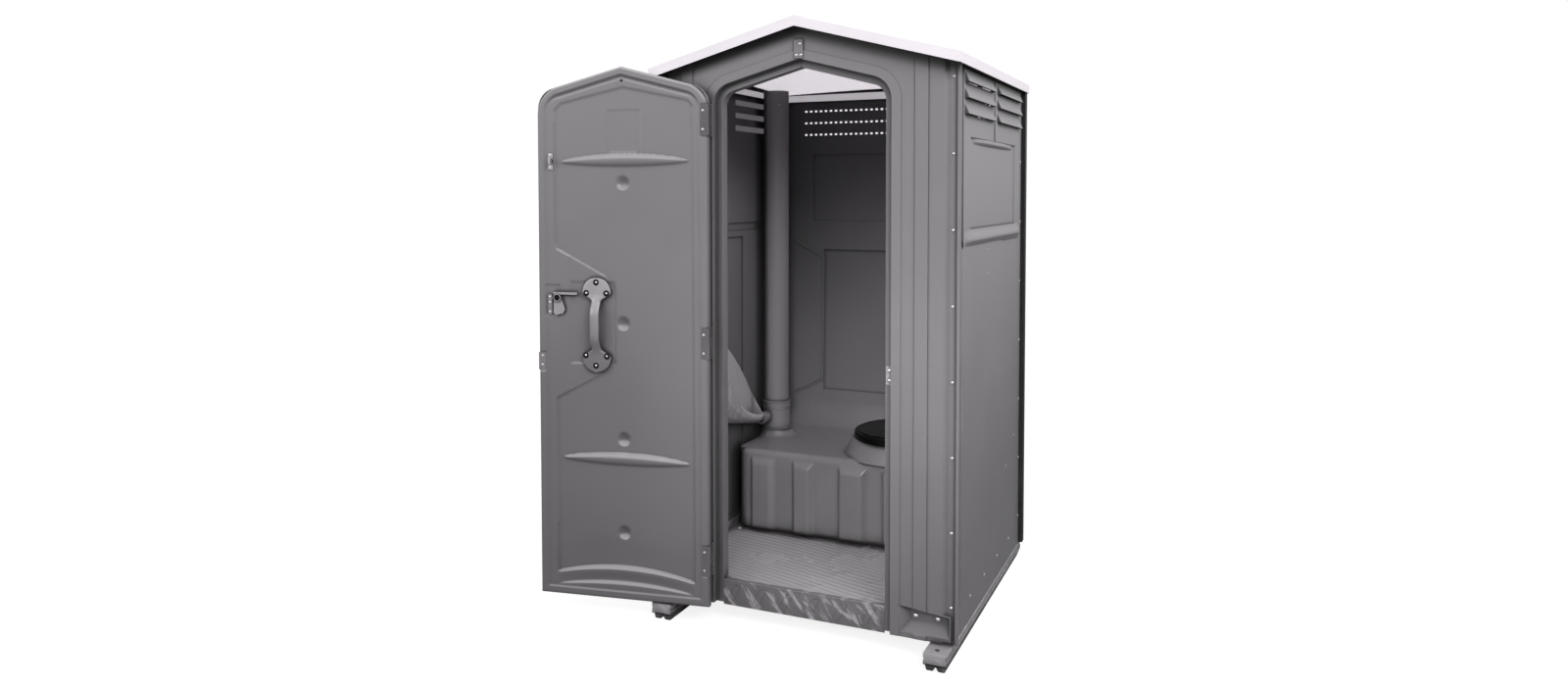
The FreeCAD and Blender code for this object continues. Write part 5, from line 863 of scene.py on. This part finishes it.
def handle_width(m):
    """Half width at a share m from the middle, nought at the middle and one at the ends."""
    pad = GRIP_HALF + (PAD_HALF - GRIP_HALF) * step(m, *PAD_FROM)
    tip = math.sqrt(max(0.0, 1 - (max(0.0, m - TIP_FROM) / TIP_LONG) ** 2))
    return pad * tip ** 0.85 if m > TIP_FROM else pad


def handle_ring(angle, m):
    """Across the door and out from it, for one point of the ring at m."""
    away = abs(m)
    top = PAD_THICK + (HANDLE_REACH - PAD_THICK) * (1 - step(away, *ARCH_OUTSIDE))
    under = (HANDLE_REACH - GRIP_THICK) * (1 - step(away, *ARCH_INSIDE))
    half = handle_width(away)
    square = ROUND_GRIP + (SQUARE_PAD - ROUND_GRIP) * step(away, *SQUARE_FROM)
    c, d = math.cos(angle), math.sin(angle)
    size = (abs(c) ** square + abs(d) ** square) ** (-1 / square)
    return half * c * size, (top + under) / 2 + (top - under) / 2 * d * size


def pull_handle(segments, rings):
    shape = bmesh.new()
    bmesh.ops.create_cone(shape, cap_ends=True, segments=segments, radius1=1, radius2=1, depth=2)
    uprights = [e for e in shape.edges if abs(e.verts[0].co.z - e.verts[1].co.z) > 1]
    bmesh.ops.subdivide_edges(shape, edges=uprights, cuts=rings, use_grid_fill=False)
    for vert in shape.verts:
        m = math.sin(vert.co.z * math.pi / 2) if abs(vert.co.z) < 1 else vert.co.z
        across, out = handle_ring(math.atan2(vert.co.y, vert.co.x), m)
        z = (HANDLE_LOW + HANDLE_HIGH) / 2 + m * (HANDLE_HIGH - HANDLE_LOW) / 2
        vert.co = on_door(HANDLE_ACROSS - across, out - PAD_LEVEL, z)
    weld(shape)
    bmesh.ops.recalc_face_normals(shape, faces=shape.faces)
    hung(shape)
    return attach(finish_mesh(shape, "handle_casting", CASTING, 50), "pull_handle")


def discs_on_door(name, spots, radius, thick, level, body):
    """Black discs on the door's face, at distances from the hinge edge and at levels."""
    shape = bmesh.new()
    for s, z in spots:
        place = Matrix.Translation(on_door(s, level + thick / 2, z)) @ Matrix.Rotation(math.pi / 2, 4, "X")
        bmesh.ops.create_cone(shape, cap_ends=True, segments=24, radius1=radius * MM, radius2=radius * MM,
                              depth=thick * MM, matrix=place)
    hung(shape)
    return carried(finish_mesh(shape, name, BLACK), body)


def outermost(node_name):
    """How far a measured door part stands off the inner face, in millimetres."""
    turned = Matrix.Rotation(-DOOR_SWUNG, 4, "Z")
    spots = (HINGE_AXIS + turned @ (v.co - HINGE_AXIS) for v in frame["nodes"][node_name].data.vertices)
    return (max(spot.y for spot in spots) - DOOR_INSIDE) / MM


HANDLE_SCREWS = ((418, 1222), (379, 1183), (456, 1183), (378, 955), (459, 957), (420, 920))
EYE_HOLE, LEVER_PIVOT = (320, 1946), (570, 1164)
SEAT_LEVEL, LEVER_OUT = PAD_THICK - PAD_LEVEL - 0.5, outermost("latch_lever")
handle = pull_handle(24, 60)
discs_on_door("handle_screw_seats", HANDLE_SCREWS, 11.0, 0.8, SEAT_LEVEL, "door")
discs_on_door("eye_hole_lining", (EYE_HOLE,), 4.5, 1.0, BORDER_LEVEL - 0.6, "door")
discs_on_door("lever_pivot_cap", (LEVER_PIVOT,), 11.0, 1.2, LEVER_OUT - 0.8, "latch_lever")
print("handle:", len(handle.data.polygons), "faces, lever stands off", round(LEVER_OUT, 1), "mm")

# %% [markdown]
# ## The waste tank's face
# The tank is moulded in one piece with wide draughts: its foot curls under, its upper edge is a soft
# nose, and broad ribs with slanting flanks stiffen the face. The measured tank keeps its rear part,
# and a pressed sheet is laid over its front, from the floor up and over the nose.

# %% Tank face
TANK_HALF, TANK_CORNER, TANK_FACE = 520.0, 60.0, 4.4
FOOT_ROUND, NOSE_ROUND, TANK_TOP, TANK_LAP = 26.0, 26.0, 480.6, 60.0
FLOOR_TOP = 145.3
TANK_FOOT, TANK_NOSE = FOOT_ROUND * math.pi / 2, NOSE_ROUND * math.pi / 2
TANK_WALL = TANK_TOP - FLOOR_TOP - FOOT_ROUND - NOSE_ROUND
TANK_RIBS = ((-440, -368), (-255, -197), (-58, 28), (125, 195), (315, 385))
RIB_PROUD, RIB_TOP, RIB_FLANKS, RIB_RUN_OUT = 16.0, 424.0, (11.0, 24.0), 30
RIB_SOFTNESS = 0.35


def tank_profile(reach):
    """Depth, level and outward turn after a way along the face, from the floor up and back."""
    if reach < TANK_FOOT:
        turn = reach / FOOT_ROUND
        level = FLOOR_TOP + FOOT_ROUND * (1 - math.cos(turn))
        return FOOT_ROUND * (1 - math.sin(turn)), level, math.sin(turn)
    reach -= TANK_FOOT
    if reach < TANK_WALL:
        return 0.0, FLOOR_TOP + FOOT_ROUND + reach, 1.0
    reach -= TANK_WALL
    if reach < TANK_NOSE:
        turn = reach / NOSE_ROUND
        level = TANK_TOP - NOSE_ROUND * (1 - math.sin(turn))
        return NOSE_ROUND * (1 - math.cos(turn)), level, math.cos(turn)
    return NOSE_ROUND + reach - TANK_NOSE, TANK_TOP, 0.0


def rib_rise(x, z):
    """How far the ribs stand out of the face at one place."""
    rise = 0.0
    top = min(1.0, max(0.0, (RIB_TOP + RIB_RUN_OUT - z) / RIB_RUN_OUT))
    for left, right in TANK_RIBS:
        flank = min((x - left) / RIB_FLANKS[0] + 1, (right - x) / RIB_FLANKS[1] + 1)
        rise = max(rise, min(1.0, max(0.0, flank), top))
    return RIB_PROUD * (rise + RIB_SOFTNESS * (step(rise, 0, 1) - rise))


def tank_face(pitch):
    length = TANK_FOOT + TANK_NOSE + TANK_WALL + TANK_LAP
    shape = sheet(round(2 * TANK_HALF / pitch), round(length / pitch))
    for vert in shape.verts:
        x = vert.co.x * 2 * TANK_HALF
        depth, z, outward = tank_profile((vert.co.y + 0.5) * length)
        inside = max(0.0, abs(x) - TANK_HALF + TANK_CORNER)
        corner = TANK_CORNER - math.sqrt(TANK_CORNER ** 2 - inside ** 2)
        vert.co = metres(x, TANK_FACE + depth + corner - rib_rise(x, z) * outward, z)
    return carried(finish_mesh(shape, "tank_face", TANK, 80), "cabin")


BEHIND_FACE, PEDESTAL_FOOT = 0.042, 0.47


def tank_body():
    """The measured tank, its front drawn back behind the pressed face."""
    shape = merged("waste_tank")
    for vert in shape.verts:
        if vert.co.y < BEHIND_FACE and vert.co.z < PEDESTAL_FOOT:
            vert.co.y = BEHIND_FACE
    weld(shape)
    bmesh.ops.dissolve_degenerate(shape, dist=SAME_POINT, edges=shape.edges)
    round_edges(shape, 0.003, least=0.012, clamp=True)
    return attach(finish_mesh(shape, "tank_body", TANK), "waste_tank")


tank = tank_body()
tank_front = tank_face(5.0)
print("tank:", len(tank.data.polygons), "faces, its front:", len(tank_front.data.polygons))

# %% [markdown]
# ## Ledges of the side windows
# The panel under each roof is drawn out into a rounded ledge below the blind window, and into a brow
# over it. Both throw the shadows by which the panel reads from afar. A ledge is a strip whose section
# swells out of the wall and back, and it thins out towards its ends.

# %% Window ledges
LEDGES = (("sill", 485.0, 547.0, 1362.0, 58.0, 9.5, 6.0), ("brow", 345.0, 541.0, 1704.0, 42.0, 9.0, 2.0))
LEDGE_LINES, LEDGE_STEPS = 12, 96
SILL_SHARE = 0.34


def ledge(label, side, half, level, low, tall, proud, fullness):
    shape = sheet(LEDGE_STEPS, LEDGE_LINES)
    for vert in shape.verts:
        along, share = vert.co.x * 2, vert.co.y + 0.5
        swell = math.sqrt(max(0.0, 1 - abs(along) ** fullness))
        rise = step(share, 0, SILL_SHARE) * (1 - step(share, SILL_SHARE, 1)) * swell
        vert.co = metres(side * (level + proud * rise), along * half, low + share * tall)
    bmesh.ops.recalc_face_normals(shape, faces=shape.faces)
    if shape.faces[:][0].normal.x * side < 0:
        bmesh.ops.reverse_faces(shape, faces=shape.faces)
    name = "window_" + label + ("_right" if side > 0 else "_left")
    return carried(finish_mesh(shape, name, SIDE, 80), "cabin")


ledges = [ledge(row[0], side, *row[1:]) for side in (1, -1) for row in LEDGES]
print("ledges:", len(ledges))

# %% [markdown]
# ## The rear wall's hollow edge and the tank's cove
# Beside the vent pipe the rear wall is pressed back, and the edge of that hollow catches the light.
# Where the tank meets the wall it runs up in a wide cove, so that it can be rinsed clean. The edge is
# a rounded strip led along its corners, the cove a quarter of an ellipse drawn out across the cabin.

# %% Edge of the hollow, and the cove
HOLLOW = [Vector(corner) for corner in ((-486, 1325), (-346, 1249), (-352, 686), (-484, 622))]
EDGE_HALF, EDGE_PROUD, EDGE_LINES = 5.0, 4.0, 8
WALL_FACE = 567.0
COVE_FRONT, COVE_LOW, COVE_HIGH, COVE_HALF, COVE_LINES = 425.0, 479.0, 594.0, 519.0, 16


def corner_offset(path, k):
    """Direction and length that keep a strip equally wide where its path turns."""
    legs = [(b - a).normalized() for a, b in zip(path, path[1:])]
    before, after = legs[max(0, k - 1)], legs[min(k, len(legs) - 1)]
    square = Vector((-before.y - after.y, before.x + after.x))
    return square / (1 + before.dot(after))


def facing_front(shape, name, material):
    """Makes a piece of a sheet, turned so that its faces look out of the doorway."""
    bmesh.ops.recalc_face_normals(shape, faces=shape.faces)
    if sum(face.normal.y * face.calc_area() for face in shape.faces) > 0:
        bmesh.ops.reverse_faces(shape, faces=shape.faces)
    piece = carried(finish_mesh(shape, name, material, 80), "cabin")
    print(name, "faces:", len(piece.data.polygons))


edge = sheet(len(HOLLOW) - 1, EDGE_LINES)
for vert in edge.verts:
    corner, across = round((vert.co.x + 0.5) * (len(HOLLOW) - 1)), vert.co.y * 2
    place = HOLLOW[corner] + corner_offset(HOLLOW, corner) * EDGE_HALF * across
    vert.co = metres(place.x, WALL_FACE - EDGE_PROUD * math.sqrt(1 - across ** 2), place.y)
facing_front(edge, "rear_hollow_edge", INNER)

cove = sheet(1, COVE_LINES)
for vert in cove.verts:
    turn = (vert.co.y + 0.5) * math.pi / 2
    back = COVE_FRONT + (WALL_FACE - COVE_FRONT) * math.sin(turn)
    up = COVE_LOW + (COVE_HIGH - COVE_LOW) * (1 - math.cos(turn))
    vert.co = metres(vert.co.x * 2 * COVE_HALF, back, up)
facing_front(cove, "tank_cove", TANK)

# %% [markdown]
# ## Sockets round the vent pipe
# The pipe stands in a grommet on a flared boss, and its tee is closed by a collar. Each is a turned
# shape with a rolled lip that catches the light, so each is a profile that is spun round the pipe's
# axis. A point of a profile is a radius and a level.

# %% Turned sockets
PIPE_AXIS = (-474.0, 320.0)
LIP_TURNS = 6


def lip(radius, level, size):
    """Points round a small rolled lip, from below it to above it."""
    turns = [math.pi * (k / LIP_TURNS - 0.5) for k in range(LIP_TURNS + 1)]
    return [(radius + size * math.cos(t), level + size * math.sin(t)) for t in turns]


COLLAR = [(55, 598), (62, 598), *lip(62, 603, 2), (62, 606), (62, 624), *lip(60.5, 629, 3.2), (55, 632)]
GROMMET = [(55, 499), (66, 499), (63, 503), *lip(61, 514, 3.2), (55, 517)]
SOCKETS = {"pipe_collar": COLLAR, "pipe_grommet": GROMMET}
BOSS = [(60, 480.2), (112, 480.8), (98, 482.5), (86, 486.5), (77, 493), (71, 500), (68, 504.6), (60, 505)]
BOSS_CUT = -0.519


def turned(name, profile, material):
    """Spins a profile once round the pipe's axis."""
    shape = bmesh.new()
    x, y = PIPE_AXIS
    ring = [shape.verts.new(metres(x + radius, y, level)) for radius, level in profile]
    edges = [shape.edges.new(pair) for pair in zip(ring, ring[1:])]
    bmesh.ops.spin(shape, geom=ring + edges, cent=metres(x, y, 0), axis=(0, 0, 1), angle=2 * math.pi,
                   steps=72, use_merge=True, use_duplicate=False)
    weld(shape)
    bmesh.ops.recalc_face_normals(shape, faces=shape.faces)
    return finish_mesh(shape, name, material, 50)


def boss_flare():
    """The boss's flared foot, cut off where it meets the side wall."""
    piece = turned("boss_flare", BOSS, TANK)
    shape = bmesh.new()
    shape.from_mesh(piece.data)
    whole = shape.verts[:] + shape.edges[:] + shape.faces[:]
    bmesh.ops.bisect_plane(shape, geom=whole, plane_co=(BOSS_CUT, 0, 0), plane_no=(-1, 0, 0),
                           clear_outer=True)
    shape.to_mesh(piece.data)
    shape.free()
    return carried(piece, "cabin")


for name, profile in SOCKETS.items():
    attach(turned("turned_" + name, profile, PIPE), name)
print("sockets:", len(SOCKETS), "boss:", len(boss_flare().data.polygons))

# %% [markdown]
# ## The floor's tread
# The floor pan carries diagonal ribs against slipping. They are low and rounded, so the tread is one
# more pressed sheet that lies on the pan, in front of the tank.

# %% Tread
TREAD_HALF, TREAD_FRONT, TREAD_BACK, TREAD_LEVEL = 532.0, -549.0, 0.0, 145.1
TREAD_PITCH, TREAD_RISE = 27.0, 1.7
TREAD_SLANT = (0.26, 0.96)


def floor_tread(pitch):
    """The ribs run aslant and wander a little, and they run out before the sheet's edges."""
    width, depth = 2 * TREAD_HALF, TREAD_BACK - TREAD_FRONT
    shape = sheet(round(width / pitch), round(depth / pitch))
    for vert in shape.verts:
        x, y = vert.co.x * width, TREAD_FRONT + (vert.co.y + 0.5) * depth
        edge = min(TREAD_HALF - abs(x), y - TREAD_FRONT, TREAD_BACK - y)
        drift = 9 * math.sin(x / 130) + 5 * math.sin(y / 90 + x / 210)
        way = y * TREAD_SLANT[1] + x * TREAD_SLANT[0] + drift
        wave = math.cos(way / TREAD_PITCH * 2 * math.pi)
        rise = TREAD_RISE * step(wave, -0.2, 0.8) * step(edge, 6, 30)
        vert.co = metres(x, y, TREAD_LEVEL + rise)
    return carried(finish_mesh(shape, "floor_tread", FLOOR, 80), "cabin")


tread = floor_tread(4.4)
print("tread:", len(tread.data.polygons), "faces")

# %% [markdown]
# ## Parts whose measured shape is already right
# Pins, pipes, screws and rivets are turned or pressed, and their solids are round enough. They stay
# as they are and get the finish of what they are made of.

# %% Finishes of the parts that stay
STAYS = (
    (ZINC, ["front_rivets", "side_rivets", "foot_bolts", "floor_bolts", "tank_screws", "handle_screws",
            "door_fitting_screws", "hinge_screws_door", "hinge_screws_frame", "strike_screws",
            "urinal_screws", "pipe_screw", "paper_holder_screws"]),
    (STEEL, ["door_edge_plate", "latch_plate", "latch_bolt", "latch_spindle", "seat_hinge_pin",
             "hinge_top_pin", "hinge_middle_pin", "hinge_bottom_pin"]),
    (LEVER, ["latch_lever"]),
    (PLATED, ["coat_hook", "jamb_strike_plate"]),
    (PAINTED, ["hinge_top_door_leaf", "hinge_middle_door_leaf", "hinge_bottom_door_leaf",
               "hinge_top_frame_leaf", "hinge_middle_frame_leaf", "hinge_bottom_frame_leaf"]),
    (PIPE, ["vent_pipe", "pipe_tee", "urinal_drain"]),
    (BLACK, ["outside_turn_knob", "paper_spindle", "seat_hinge_brackets"]),
    (PAPER, ["paper_roll"]),
    (ROOF, ["roof"]),
)
for finish, names in STAYS:
    for name in names:
        mesh = frame["nodes"][name].data
        mesh.materials.clear()
        mesh.materials.append(finish)
    print(finish.name, len(names))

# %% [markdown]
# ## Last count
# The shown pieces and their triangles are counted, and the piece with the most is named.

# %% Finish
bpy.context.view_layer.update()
meshes = {piece.name: piece.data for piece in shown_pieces() if piece.type == "MESH"}
triangles = {name: sum(len(face.vertices) - 2 for face in mesh.polygons) for name, mesh in meshes.items()}
most = max(triangles, key=triangles.get)
print("pieces:", len(triangles), "triangles:", sum(triangles.values()), "most:", most)
